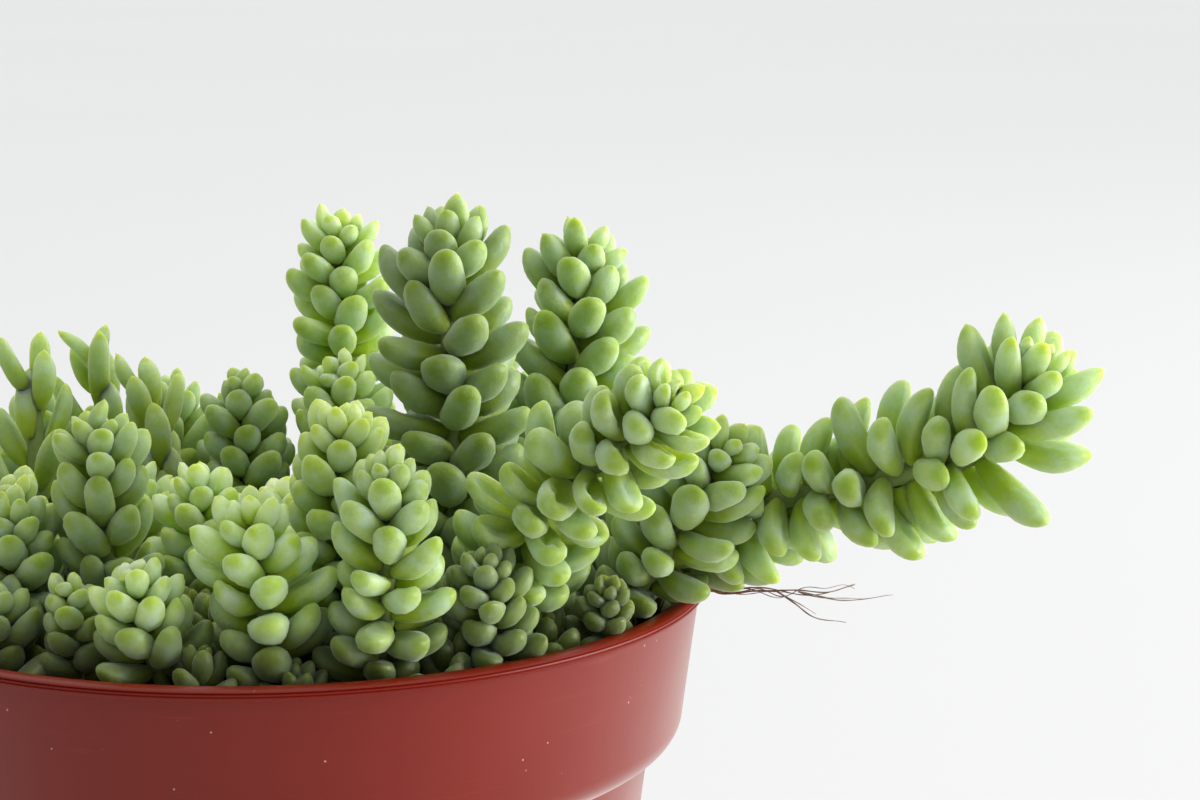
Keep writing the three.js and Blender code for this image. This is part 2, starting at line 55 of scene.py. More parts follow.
POT_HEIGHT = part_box("pot")[1].z / MM
RIM_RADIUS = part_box("pot")[1].x / MM
WALL = 1.8
FLOOR = 2.4
WALL_LEAN = 0.135  # how far the wall leans out for each millimetre of height
BAND_HEIGHT = 23.5  # the wider band under the rim
BAND_CORNER = 4.6  # radius of the band's lower edge, where the wall steps in
LIP_HEIGHT = 1.5
LIP_PROUD = 0.8  # how far the lip stands out from the band
DRAIN_HOLES = 6
DRAIN_RADIUS = 3.4
DRAIN_CIRCLE = 31
GAP = 0.35  # clearance between the soil and the pot

SOIL_EDGE = 93  # height of the soil at the wall
SOIL_CROWN = 2.5  # how much higher the soil is in the middle

FULL_TURN = 2 * math.pi
GOLDEN_ANGLE = math.pi * (3 - math.sqrt(5))

# Sizes of a stem and its leaves, as shares of the length of its full-grown leaves.
STALK_RADIUS = 0.13
BARE_STALK = 0.25  # length of stalk above the soil that has lost its leaves
LEAF_SPACING = 0.088  # stem length for each full-grown leaf
CROWN_INSET = 0.5  # how far the youngest leaves reach past the end of the stalk

LEAF_WIDTH = 5  # width in millimetres of a full-grown leaf 10 mm long
WIDTH_BY_LENGTH = 0.5  # power of its length by which the width of another one differs
WIDTH_BY_AGE = 0.8  # power of its growth by which the width of a younger one differs
LEAF_THICKNESS = 0.84  # thickness of a leaf, as a share of its width
LEAF_CURL = 0.2  # how far a leaf's tip curls up, as a share of its length
TIP_ANGLE = 14  # degrees between the stem and the youngest leaves
GROWING_LENGTH = 3.8  # distance from the tip over which they reach their full length
TRAILING_GROWTH = 2.4  # and the same for the trailing branch
TIP_SPACING = 0.32  # spacing of the youngest leaves, as a share of the full-grown ones'
YOUNGER_THAN, OLDER_THAN = 14, 30  # distances from the tip between which leaves grow old

# How the leaves of a stem stand: low is the degrees between the stem and its oldest leaves, opening
# the distance from the tip over which they open out, width and spacing are shares of the usual ones,
# tip is the length of the youngest leaves and old that of the oldest ones, as shares of a full-grown
# one, and growing the distance from the tip over which they grow.
USUAL = {"low": 88, "opening": 11, "width": 1, "spacing": 1, "tip": 0.42, "old": 0.9}
USUAL["growing"] = GROWING_LENGTH


def habit(**changes):
    return {**USUAL, **changes}


UPRIGHT = habit(low=32, width=0.72, spacing=2.5, tip=0.75, old=1)
HABITS = {
    "branch_trailing": habit(
        low=84, opening=7, width=0.9, spacing=0.72, tip=0.28, old=0.86, growing=TRAILING_GROWTH
    ),
    "branch_arching": habit(low=80, opening=9, spacing=0.9, tip=0.36),
    "stem_front": habit(low=84, width=0.95, tip=0.4, old=0.85),
    "stem_left": habit(low=62, width=0.88, old=0.76),
    "sprout_left": habit(low=80, opening=7, spacing=1.5),
    "stem_centre": habit(low=84, opening=8, width=1.08, spacing=0.84, tip=0.5, old=1),
    "stem_back_right": habit(low=76, opening=9, width=1.08, spacing=0.9, tip=0.5, old=1),
    "stem_back_left": habit(low=80, opening=9, spacing=0.95, tip=0.5),
    "stem_upright_left": UPRIGHT,
    "stem_upright_edge": UPRIGHT,
    "stem_pale_thin": UPRIGHT,
}

# The middle line of each stem: where it leaves the soil, then points on the way to its tip, as in
# the solids. The first number is the length of its full-grown leaves.
STEMS = {
    "branch_trailing": (
        11.6,
        [(46, -4), (48, -5, 99), (64, -13, 111.5), (82, -21, 117.5), (95.6, -28, 124), (101.8, -31, 139.4)],
    ),
    "branch_arching": (9.8, [(31, -24), (36, -35, 114), (45.8, -44, 125.5), (56.6, -55, 136)]),
    "stem_centre": (11, [(25, -5), (24.6, -2, 125), (24, 0, 152)]),
    "stem_back_left": (8.4, [(7, 35), (6.2, 38, 121), (5.4, 39, 147)]),
    "stem_back_right": (10, [(38, 16), (41, 20, 121), (43.3, 23, 147)]),
    "stem_front": (8.4, [(17, -43), (19, -48, 110), (19.5, -50, 128.5)]),
    "stem_front_left": (9, [(5, -42), (3.4, -45, 106), (1.6, -47, 122)]),
    "stem_front_inner": (8.4, [(11, -29), (11, -33, 113), (13.6, -37, 131)]),
    "stem_left": (9, [(-18, -26), (-19, -29, 112), (-19.4, -31, 130)]),
    "stem_right_rim": (9.2, [(45, -15), (54, -20.5, 108), (63.5, -26, 126.5)]),
    "stem_low_left": (8, [(-9, -44), (-10.8, -47, 102), (-12.4, -49, 114.5)]),
    "sprout_left": (6, [(-20, -41), (-21.6, -43, 110.8)]),
    "stem_far_left": (8.8, [(-31, -26), (-30.5, -30, 109), (-30.4, -32, 118.5)]),
    "stem_edge_left": (8.2, [(-31, -38), (-32, -40, 109.5)]),
    "stem_mid_right": (7.2, [(31, -38), (31, -42, 104), (30.6, -44, 114.6)]),
    "sprout_right": (5.8, [(45, -29), (46, -33, 107.4)]),
    "stem_inner_left": (7.8, [(-8, -12), (-9, -14, 119)]),
    "stem_inner_front": (7.6, [(2, -14), (3, -17, 117.5)]),
    "stem_dark_bud": (7.6, [(-5, 12), (-6.6, 15, 127)]),
    "stem_back_short": (8, [(8, 17), (7.5, 16, 129.5)]),
    "stem_upright_left": (11, [(-28, 27), (-30, 29, 129)]),
    "stem_upright_edge": (11, [(-36, 12), (-36.5, 16, 130)]),
    "stem_pale_thin": (10, [(-17, 19), (-22, 23, 126)]),
    "stem_inner_edge": (8.4, [(-34, -10), (-35, -12, 117.5)]),
    "stem_middle_left": (8.2, [(-20, 2), (-21, 3, 116)]),
    "stem_middle": (8.2, [(10, 1), (10, 1, 118.5)]),
    "stem_middle_right": (8.8, [(38, 0), (41, 0, 120)]),
    "stem_behind_centre": (9.6, [(23, 22), (24, 25, 131)]),
    "stem_back_middle": (10, [(24, 41), (27, 46, 128)]),
    "stem_back_dark": (8.4, [(-9, 37), (-10, 41, 119)]),
    "stem_side_left": (9.6, [(-47, -18), (-51, -20, 117)]),
    "stem_side_edge": (9.6, [(-48, 0), (-55, 1, 116)]),
    "stem_side_back": (10, [(-47, 18), (-53, 21, 122)]),
    "stem_back_edge": (10, [(-37, 34), (-41, 39, 120)]),
    "stem_rear_left": (9.6, [(-21, 44), (-23, 51, 120)]),
    "stem_rear": (9.6, [(8, 49), (9, 54, 117)]),
    "stem_rear_right": (10, [(38, 31), (42, 35, 105), (49, 41, 124)]),
    "stem_side_right": (9.2, [(48, 11), (52, 12, 105), (60, 14, 118)]),
}

# Leaves that have dropped: where the middle of each lies, its length, and how many degrees it is
# turned and tipped up.
FALLEN_LEAVES = [
    ((8, -51.5), 7.6, 100, 24),
    ((-3, -52), 7, 12, 18),
    ((25, -47), 7.4, -28, 26),
    ((-27, -45), 7.6, 40, 22),
    ((39, -37), 7, -150, 24),
]

# The dry roots that lie over the rim beside the trailing branch, from where they leave the soil.
ROOT_STRANDS = [
    [(51, -14), (54, -14, 100.6), (57.6, -13.9, 101.5), (61.5, -13.6, 100.4)]
    + [(70, -12.5, 100.2), (79.7, -12, 100.6)],
    [(72, -12.4, 100.2), (77.5, -11.6, 98.7), (81.5, -11.2, 98.5), (85, -11.5, 99.3)],
    [(69, -12.6, 100.2), (71.5, -13, 98.6), (74.2, -13.4, 97), (78.4, -13.6, 95.9)],
]


def seeded(seed):
    """Random numbers of its own for each thing that draws them, so that none shifts another's."""
    return np.random.default_rng(seed)


# ---- Meshes ----


def new_object(name, data, place=(0, 0, 0)):
    made = bpy.data.objects.new(name, data)
    made.location = Vector(place) * MM
    bpy.context.scene.collection.objects.link(made)
    return made


def mesh_piece(name, points, faces, materials, slots=None, attributes=None):
    """A smooth mesh object of points in millimetres. Slots are the material numbers of its faces, and
    each attribute holds a number for every point."""
    mesh = bpy.data.meshes.new(name)
    mesh.from_pydata((np.asarray(points) * MM).tolist(), [], faces)
    for material in materials:
        mesh.materials.append(material)
    if slots is not None:
        mesh.polygons.foreach_set("material_index", slots)
    mesh.polygons.foreach_set("use_smooth", [True] * len(mesh.polygons))
    for key, values in (attributes or {}).items():
        layer = mesh.attributes.new(key, "FLOAT", "POINT")
        layer.data.foreach_set("value", np.asarray(values, np.float32))
    mesh.validate()
    mesh.update()
    return new_object(name, mesh)


def dressed(piece, node):
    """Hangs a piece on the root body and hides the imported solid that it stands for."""
    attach(piece, "root")
    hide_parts(node)
    return piece


def grid_faces(rows, columns):
    """The four-sided faces between rings of points, each ring closed on itself."""
    faces = []
    for low in range(0, (rows - 1) * columns, columns):
        high = low + columns
        for column in range(columns):
            following = (column + 1) % columns
            faces.append((low + column, low + following, high + following, high + column))
    return faces


def closed_faces(rows, columns):
    """The same, closed at both ends on the two points that follow the rings."""
    faces = grid_faces(rows, columns)
    top = (rows - 1) * columns
    start = rows * columns
    for column in range(columns):
        following = (column + 1) % columns
        faces.append((following, column, start))
        faces.append((top + column, top + following, start + 1))
    return faces


def joined(parts):
    """The points and faces of several meshes as those of one."""
    points, faces = [], []
    total = 0
    for some, its_faces in parts:
        points.append(some)
        faces += [tuple(corner + total for corner in face) for face in its_faces]
        total += len(some)
    return np.vstack(points), faces


def round_angles(count):
    return np.linspace(0, FULL_TURN, count, endpoint=False)


def lathe(profile, sides):
    """Points and faces of a profile of (radius, height) turned about +Z. Its ends lie on the axis."""
    angles = round_angles(sides)
    rings = np.array(profile[1:-1])
    x = np.outer(rings[:, 0], np.cos(angles))
    y = np.outer(rings[:, 0], np.sin(angles))
    z = np.repeat(rings[:, 1:2], sides, axis=1)
    points = np.stack([x, y, z], axis=-1).reshape(-1, 3)
    points = np.vstack([points, (0, 0, profile[0][1]), (0, 0, profile[-1][1])])
    return points, closed_faces(len(rings), sides)


def arc(centre, radius, start, stop, steps):
    """Points (radius, height) of an arc round a centre, between two angles in degrees."""
    angles = np.radians(np.linspace(start, stop, steps + 1))
    return [(centre[0] + radius * math.cos(a), centre[1] + radius * math.sin(a)) for a in angles]


# ---- Curves ----


SPLINE_STEPS = 24  # points of a curve between two of the points that it goes through


def unit(vectors):
    return vectors / np.linalg.norm(vectors, axis=1)[:, None]


def spline(points):
    """A smooth line through the points: a centripetal Catmull-Rom curve, as in the solids."""
    p = np.array(points, float)
    p = np.vstack([2 * p[0] - p[1], p, 2 * p[-1] - p[-2]])
    line = []
    for a, b, c, d in zip(p, p[1:], p[2:], p[3:]):
        before, span, after = (math.sqrt(math.dist(*pair)) for pair in ((a, b), (b, c), (c, d)))
        leave = ((b - a) / before - (c - a) / (before + span) + (c - b) / span) * span
        arrive = ((c - b) / span - (d - b) / (span + after) + (d - c) / after) * span
        t = np.linspace(0, 1, SPLINE_STEPS, endpoint=False)[:, None]
        squared = 3 * (c - b) - 2 * leave - arrive
        cubed = 2 * (b - c) + leave + arrive
        line.append(b + leave * t + squared * t**2 + cubed * t**3)
    return np.vstack([*line, p[-2]])


class Path:
    """A line measured by the distance along it. Before its start it goes straight down."""

    def __init__(self, points):
        self.line = spline(points)
        steps = np.linalg.norm(np.diff(self.line, axis=0), axis=1)
        self.distances = np.concatenate([[0], np.cumsum(steps)])
        self.length = self.distances[-1]
        self.tangents = unit(np.gradient(self.line, self.distances, axis=0))

    def at(self, distance):
        """The points at some distances, and the directions along, to the side and to the front there."""
        distance = np.atleast_1d(distance)
        point, along = (
            np.stack([np.interp(distance, self.distances, values[:, i]) for i in range(3)], -1)
            for values in (self.line, self.tangents)
        )
        point[:, 2] += np.minimum(distance, 0)
        along[distance < 0] = (0, 0, 1)
        along = unit(along)
        side = unit(np.cross(along, (0, 1, 0)))
        return point, along, side, np.cross(side, along)


# ---- The pot's profile and the soil's height ----


def band_radius(z):
    return RIM_RADIUS - LIP_PROUD - (POT_HEIGHT - z) * WALL_LEAN


band_bottom = POT_HEIGHT - BAND_HEIGHT
corner_height = band_bottom + BAND_CORNER
shoulder_radius = band_radius(corner_height) - BAND_CORNER
foot_radius = shoulder_radius - band_bottom * WALL_LEAN
soil_radius = band_radius(SOIL_EDGE) - WALL - GAP
ledge = band_bottom + WALL


def soil_height(r):
    return SOIL_EDGE + SOIL_CROWN * (1 - (np.minimum(r, soil_radius) / soil_radius) ** 2)


def on_soil(points):
    """The same points, with the first one set on the soil where it has no height."""
    first, *rest = points
    if len(first) == 2:
        first = (*first, soil_height(math.hypot(*first)))
    return [first, *rest]


# ---- Leaves ----

# Points round a leaf, and the places along it of its rings of points. Small leaves have fewer.
LEAF_SIDES = 16
SPROUT_SIDES = 10
LEAF_RINGS = np.array([0, 0.08, 0.18, 0.29, 0.41, 0.53, 0.65, 0.76, 0.85, 0.92, 0.965, 0.99])
SPROUT_RINGS = np.array([0, 0.12, 0.28, 0.46, 0.64, 0.8, 0.92, 0.98])
WIDEST = 0.6  # where a leaf is widest, as a share of its length
LEAF_NECK = 0.42  # width of its foot, as a share of its width
BLUNTNESS = 0.52  # a lower power makes its tip blunter
BLUNTNESS_RANGE = (0.4, 0.6)  # between which the powers of single leaves lie
YOUNG_BLUNTNESS = 0.25  # and how much higher they are on the youngest leaves
UPPER_HALF, UNDER_HALF = 0.86, 1.1  # thickness of the two halves, as shares of the usual one
POINT = 0.035  # how far the point of a young leaf's tip stands out, as a share of its length


def leaf_profile(t, bluntness=BLUNTNESS):
    """Half the width of a leaf at a share of its length, as a share of its largest half width."""
    rising = LEAF_NECK + (1 - LEAF_NECK) * np.sin(0.5 * math.pi * np.minimum(t / WIDEST, 1) ** 0.8)
    past = np.maximum(t - WIDEST, 0) / (1 - WIDEST)
    return rising * np.maximum(1 - past**2.5, 0) ** bluntness


def leaf_meshes(leaves, random, rings=LEAF_RINGS, sides=LEAF_SIDES):
    """Points, faces and the place along the leaf of each point, for many leaves at once."""
    count = len(leaves["root"])
    width, length, young, bowl = (leaves[key][:, None] for key in ("width", "length", "young", "hollow"))
    t = np.append(np.repeat(rings, sides), 1.0)
    angle = np.append(np.tile(round_angles(sides), len(rings)), 0.0)
    radius = leaf_profile(t, random.uniform(*BLUNTNESS_RANGE, (count, 1)) + YOUNG_BLUNTNESS * young)
    phase = random.uniform(0, FULL_TURN, (5, count, 1))
    lump = np.sin(math.pi * t)[None, :]
    facets = 0.045 * np.sin(3 * angle + phase[0] + 2 * t) + 0.035 * np.sin(5 * angle + phase[1] - 4 * t)
    bulge = 0.03 * np.sin(7 * t + phase[2]) + 0.02 * np.sin(2 * angle + 9 * t + phase[3])
    wide = radius * (1 + (facets + bulge) * lump)
    upper_side = np.maximum(np.cos(angle), 0)
    hollow = bowl * np.sin(math.pi * np.clip((t - 0.15) / 0.85, 0, 1))
    crease = 0.5 * np.sin(6 * angle + 7 * t + phase[4]) * np.sin(11 * t + phase[0])
    thickness = np.where(np.cos(angle) > 0, UPPER_HALF, UNDER_HALF) - hollow * upper_side**4 * (1 + crease)
    across_by = wide * np.sin(angle) * width / 2
    upward_by = wide * np.cos(angle) * thickness * LEAF_THICKNESS * width / 2
    reach = length * t
    reach[:, -1] += POINT * leaves["young"] * leaves["length"]
    upward_by = upward_by + leaves["curl"][:, None] * length * t**2
    across_by = across_by + leaves["bend"][:, None] * length * t**2
    points = (
        leaves["root"][:, None, :]
        + leaves["outward"][:, None, :] * reach[:, :, None]
        + leaves["upward"][:, None, :] * upward_by[:, :, None]
        + leaves["across"][:, None, :] * across_by[:, :, None]
    )
    one = grid_faces(len(rings), sides)
    last = (len(rings) - 1) * sides
    tip = len(t) - 1
    one += [(last + i, last + (i + 1) % sides, tip) for i in range(sides)]
    faces = [tuple(corner + leaf * len(t) for corner in face) for leaf in range(count) for face in one]
    return points.reshape(-1, 3), faces, np.tile(t, count)


def opened(radial, along, angle):
    """The directions of leaves that stand off a stem by angles in degrees."""
    angle = np.radians(angle)[:, None]
    return {
        "outward": radial * np.sin(angle) + along * np.cos(angle),
        "upward": along * np.sin(angle) - radial * np.cos(angle),
    }


def grown(to_tip, over=GROWING_LENGTH):
    return 1 - np.exp(-to_tip / over)


def sprouted(name, number):
    """The leaves of one stem: a spiral of them up its stalk, a golden angle apart."""
    leaf, points = STEMS[name]
    stands = HABITS.get(name, USUAL)
    path = Path(on_soil(points))
    length = path.length - CROWN_INSET * leaf
    random = seeded(number)
    distances = []
    distance = BARE_STALK * leaf
    spacing = LEAF_SPACING * leaf * stands["spacing"]
    while distance < length:
        distances.append(distance)
        distance += spacing * (TIP_SPACING + (1 - TIP_SPACING) * grown(length - distance))
    distances = np.array(distances)
    count = len(distances)
    to_tip = length - distances
    angle = random.uniform(0, FULL_TURN) + GOLDEN_ANGLE * np.arange(count) + random.normal(0, 0.2, count)
    opening = TIP_ANGLE + (stands["low"] - TIP_ANGLE) * (1 - np.exp(-to_tip / stands["opening"]))
    opening += random.normal(0, 12, count)
    growth = stands["tip"] + (1 - stands["tip"]) * grown(to_tip, stands["growing"])
    age = np.clip((to_tip - YOUNGER_THAN) / (OLDER_THAN - YOUNGER_THAN), 0, 1)
    size = leaf * growth * (1 + (stands["old"] - 1) * age) * random.uniform(0.76, 1.14, count)
    width = LEAF_WIDTH * (leaf / 10) ** WIDTH_BY_LENGTH * growth**WIDTH_BY_AGE * stands["width"]
    point, along, side, front = path.at(distances)
    radial = side * np.cos(angle)[:, None] + front * np.sin(angle)[:, None]
    stalk = stalk_radius(leaf, to_tip)
    return {
        "stem": np.full(count, number),
        "root": point + radial * (0.75 * stalk)[:, None],
        **opened(radial, along, opening),
        "length": size,
        "width": width * random.uniform(0.88, 1.1, count),
        "curl": LEAF_CURL * random.uniform(0.3, 1.6, count),
        "bend": random.normal(0, 0.045, count),
        "hollow": random.uniform(0, 1.3 if name == "branch_arching" else 0.4, count),
        "tone": random.uniform(0, 1, count),
        "young": np.exp(-to_tip / (0.6 * leaf)),
    }


def small_leaves(random, count):
    """How the small leaves near the soil are bent, hollowed and coloured."""
    return {
        "curl": LEAF_CURL * random.uniform(0.3, 1.5, count),
        "bend": random.normal(0, 0.05, count),
        "hollow": random.uniform(0, 0.4, count),
        "tone": random.uniform(0, 1, count),
    }


LOOSE_LEAVES = 70
LOOSE_FROM, LOOSE_TO = 38, 53  # distances from the pot's axis between which they lie
LOOSE_LENGTHS = (5.5, 8.5)
LOOSE_RISE = (5, 50)  # degrees that they are tipped up


def loose_leaves():
    """Single leaves that lie and root on the soil inside the rim, each as if on a stem of its own."""
    random = seeded(500)
    angle = random.uniform(0, FULL_TURN, LOOSE_LEAVES)
    reach = random.uniform(LOOSE_FROM, LOOSE_TO, LOOSE_LEAVES)
    heading = random.uniform(0, FULL_TURN, LOOSE_LEAVES)
    rise = np.radians(random.uniform(*LOOSE_RISE, LOOSE_LEAVES))
    length = random.uniform(*LOOSE_LENGTHS, LOOSE_LEAVES)
    width = length * random.uniform(0.48, 0.62, LOOSE_LEAVES)
    flat = np.cos(rise)
    height = soil_height(reach) + 0.3 * width
    return {
        "stem": len(STEMS) + 1 + np.arange(LOOSE_LEAVES),
        "root": np.stack([reach * np.cos(angle), reach * np.sin(angle), height], -1),
        "outward": np.stack([np.cos(heading) * flat, np.sin(heading) * flat, np.sin(rise)], -1),
        "upward": np.tile((0.0, 0.0, 1.0), (LOOSE_LEAVES, 1)),
        "length": length,
        "width": width,
        **small_leaves(random, LOOSE_LEAVES),
        "young": np.zeros(LOOSE_LEAVES),
    }


FIRST_SPROUT = len(STEMS) + 1 + LOOSE_LEAVES  # the number of the first low sprout
SPROUT_TRIES = 900
SPROUT_REACH = 51  # how far from the pot's axis the outermost low sprouts stand
SPROUT_ROOM = 6.8  # the least distance between them and from every stem's foot
SPROUT_LEAVES = 10
SPROUT_TIP_ANGLE, SPROUT_SPREAD = 12, 62  # degrees of the youngest leaf, and how far the oldest opens on
SPROUT_FOOT, SPROUT_RISE = 1.2, 4.2  # height of the oldest leaf, and how far the youngest is above it
SPROUT_SHORT, SPROUT_GAIN = 2.6, 3.6  # length of the youngest leaf, and how much longer the oldest is


def low_sprouts():
    """Small rosettes that have rooted on the soil between the stems."""
    random = seeded(510)
    feet = [points[0][:2] for _, points in STEMS.values()]
    sprouts = []
    for _ in range(SPROUT_TRIES):
        angle = random.uniform(0, FULL_TURN)
        reach = SPROUT_REACH * math.sqrt(random.uniform(0, 1))
        foot = (reach * math.cos(angle), reach * math.sin(angle))
        if min(math.dist(foot, other) for other in feet) > SPROUT_ROOM:
            feet.append(foot)
            sprouts.append((*foot, soil_height(reach)))
    count = len(sprouts) * SPROUT_LEAVES
    sprout = np.repeat(np.arange(len(sprouts)), SPROUT_LEAVES)
    place = np.tile(np.arange(SPROUT_LEAVES), len(sprouts))
    age = 1 - place / (SPROUT_LEAVES - 1)
    angle = GOLDEN_ANGLE * place + sprout + random.normal(0, 0.25, count)
    opening = SPROUT_TIP_ANGLE + SPROUT_SPREAD * age + random.normal(0, 9, count)
    radial = np.stack([np.cos(angle), np.sin(angle), np.zeros(count)], -1)
    up = np.array((0.0, 0.0, 1.0))
    size = random.uniform(0.8, 1.25, len(sprouts))[sprout]
    height = SPROUT_FOOT + SPROUT_RISE * (1 - age) * size
    length = (SPROUT_SHORT + SPROUT_GAIN * age**0.7) * size * random.uniform(0.85, 1.1, count)
    return {
        "stem": FIRST_SPROUT + sprout,
        "root": np.array(sprouts)[sprout] + radial * 0.4 + height[:, None] * up,
        **opened(radial, up, opening),
        "length": length,
        "width": length * random.uniform(0.52, 0.62, count),
        **small_leaves(random, count),
        "young": 0.5 * (1 - age),
    }


def stalk_radius(leaf, to_tip):
    return STALK_RADIUS * leaf * (0.45 + 0.55 * np.clip(to_tip / leaf, 0, 1))


# ---- Leaves that press on each other ----

BALLS_AT = np.array([0.28, 0.48, 0.68, 0.87])  # places of the balls that stand for a leaf
ROUNDS = 45
STIFFNESS = 0.06  # how strongly a leaf turns back to the way it grew
ROUNDS_PER_SEARCH = 5
TURN_SHARE = 0.8  # how much of the turn that would clear a leaf it makes in a round
ROOT_ROOM = 1.2  # radius kept clear round the dry roots
STALK_STEP = 1.5  # distance between the points that stand for a stalk
NEARLY = 1.5  # distance within which things count as nearly touching
RIM_INSET, RIM_DROP = 1.2, 1  # how far in and down from the rim's edge its middle lies
RIM_ROOM = 1.5  # radius kept clear round that
WALL_WEIGHT = 3  # how much more a leaf is crowded by the wall than by another leaf


def ball_centres(leaves):
    reach = leaves["length"][:, None] * BALLS_AT
    lift = leaves["curl"][:, None] * leaves["length"][:, None] * BALLS_AT**2
    return (
        leaves["root"][:, None, :]
        + leaves["outward"][:, None, :] * reach[:, :, None]
        + leaves["upward"][:, None, :] * lift[:, :, None]
    )


def search_tree(centres):
    tree = kdtree.KDTree(len(centres))
    for i, centre in enumerate(centres):
        tree.insert(centre, i)
    tree.balance()
    return tree


def near_pairs(centres, radii, owner, stem, margin=NEARLY):
    """Pairs of balls of different leaves that touch or nearly do, but for a leaf's lowest ball and
    others of its own stem."""
    tree = search_tree(centres)
    place = np.arange(len(centres)) % len(BALLS_AT)
    largest = radii.max()
    pairs = []
    for i, centre in enumerate(centres):
        for _, j, distance in tree.find_range(centre, radii[i] + largest + margin):
            if j <= i or owner[i] == owner[j] or distance > radii[i] + radii[j] + margin:
                continue
            if stem[i] == stem[j] and min(place[i], place[j]) == 0:
                continue
            pairs.append((i, j))
    return np.array(pairs)


def into_wall(centres, radii):
    """How deep each ball is in the wall from inside."""
    reach = np.linalg.norm(centres[:, :2], axis=1)
    held = (reach < RIM_RADIUS) & (centres[:, 2] < POT_HEIGHT)
    return np.where(held, np.maximum(reach + radii - (band_radius(centres[:, 2]) - WALL), 0), 0)


def pushed_by_pot(centres, radii):
    """How far each ball has to move to come clear of the soil, the wall and the rim."""
    push = np.zeros_like(centres)
    reach = np.linalg.norm(centres[:, :2], axis=1)
    outward = centres[:, :2] / np.maximum(reach, 1e-6)[:, None]
    sunk = soil_height(reach) + radii - centres[:, 2]
    push[:, 2] += np.where((reach < RIM_RADIUS - 1) & (sunk > 0), sunk, 0)
    push[:, :2] -= outward * into_wall(centres, radii)[:, None]
    across = reach - (RIM_RADIUS - RIM_INSET)
    up = centres[:, 2] - (POT_HEIGHT - RIM_DROP)
    distance = np.hypot(across, up)
    near = np.maximum(radii + RIM_ROOM - distance, 0) * (up > -RIM_DROP)
    push[:, :2] += outward * (near * across / distance)[:, None]
    push[:, 2] += near * up / distance
    return push


def pressing(centres, radii, others, their_radii):
    """The direction in which each ball is pushed by another one, and how deep they overlap."""
    apart = centres - others
    distance = np.maximum(np.linalg.norm(apart, axis=1), 1e-6)
    return apart / distance[:, None], np.maximum(radii + their_radii - distance, 0)


def pressed_apart(leaves, stalks):
    """Turns the leaves about their feet away from what they press on, and says how crowded each one
    still is."""
    count = len(leaves["root"])
    balls = len(BALLS_AT)
    owner = np.repeat(np.arange(count), balls)
    stem = np.repeat(leaves["stem"], balls)
    thick = (1 + LEAF_THICKNESS) / 2 * leaves["width"] / 2
    radii = (thick[:, None] * leaf_profile(BALLS_AT)).ravel()
    arm = (leaves["length"][:, None] * BALLS_AT).ravel()
    leverage = np.sum((leaves["length"][:, None] * BALLS_AT) ** 2, axis=1)
    grew = leaves["outward"].copy()
    for step in range(ROUNDS):
        centres = ball_centres(leaves).reshape(-1, 3)
        if step % ROUNDS_PER_SEARCH == 0:
            pairs = near_pairs(centres, radii, owner, stem)
            touching = stalk_pairs(centres, radii, stem, stalks)
        push = pushed_by_pot(centres, radii)
        a, b = pairs.T
        away, overlap = pressing(centres[a], radii[a], centres[b], radii[b])
        shove = away * (overlap / 2)[:, None]
        np.add.at(push, a, shove)
        np.add.at(push, b, -shove)
        ball, at = touching.T
        away, overlap = pressing(centres[ball], radii[ball], stalks["centre"][at], stalks["radius"][at])
        np.add.at(push, ball, away * overlap[:, None])
        turn = np.zeros((count, 3))
        np.add.at(turn, owner, push * arm[:, None])
        outward = leaves["outward"] + TURN_SHARE * turn / leverage[:, None]
        outward += STIFFNESS * (grew - outward)
        set_directions(leaves, outward)
    centres = ball_centres(leaves).reshape(-1, 3)
    a, b = near_pairs(centres, radii, owner, stem, 0).T
    distance = np.linalg.norm(centres[a] - centres[b], axis=1)
    overlap = (radii[a] + radii[b] - distance) / np.minimum(radii[a], radii[b])
    overlap = np.where(stem[a] != stem[b], overlap, 0)
    crowded = np.zeros(count)
    np.maximum.at(crowded, owner[a], overlap)
    np.maximum.at(crowded, owner[b], overlap)
    np.maximum.at(crowded, owner, WALL_WEIGHT * into_wall(centres, radii) / radii)
    return crowded


def set_directions(leaves, outward):
    """Points the leaves along new directions, with their upper sides still towards the stem's tip."""
    outward = unit(outward)
    upward = unit(leaves["upward"] - outward * np.sum(leaves["upward"] * outward, axis=1)[:, None])
    leaves |= {"outward": outward, "upward": upward, "across": np.cross(outward, upward)}


def stalk_pairs(centres, radii, stem, stalks):
    """Pairs of a leaf's ball and a point of another stem's stalk that touch or nearly do."""
    tree = search_tree(stalks["centre"])
    reach = stalks["radius"].max() + NEARLY
    pairs = [
        (i, j)
        for i, centre in enumerate(centres)
        for _, j, _ in tree.find_range(centre, radii[i] + reach)
        if stem[i] != stalks["stem"][j]
    ]
    return np.array(pairs).reshape(-1, 2)


def all_stalks():
    """Points along every stalk and every dry root, with the room that each takes."""
    lines = [(leaf, points, number) for number, (leaf, points) in enumerate(STEMS.values())]
    lines += [(0, strand, len(STEMS)) for strand in ROOT_STRANDS]
    centres, radii, stems = [], [], []
    for leaf, points, number in lines:
        path = Path(on_soil(points))
        length = path.length - CROWN_INSET * leaf
        distances = np.arange(0, length, STALK_STEP)
        centres.append(path.at(distances)[0])
        radii.append(stalk_radius(leaf, length - distances) if leaf else np.full(len(distances), ROOT_ROOM))
        stems.append(np.full(len(distances), number))
    return {"centre": np.vstack(centres), "radius": np.concatenate(radii), "stem": np.concatenate(stems)}


CROWDED = (0.75, 0.45)  # how deep a leaf may be in others, as a share of its radius, in the two passes
SPARED = 0.3  # and how much deeper every second one may be
PAINTED_SHADE_BELOW = 106.5  # height under which leaves start to be darkened with painted shade
PAINTED_SHADE_OVER = 6  # and the height over which that painted shade gets full
PAINTED_SHADE_STEMS = {"sprout_right": 0.9, "stem_mid_right": 0.5}  # and the least painted shade of two stems that stand in shade
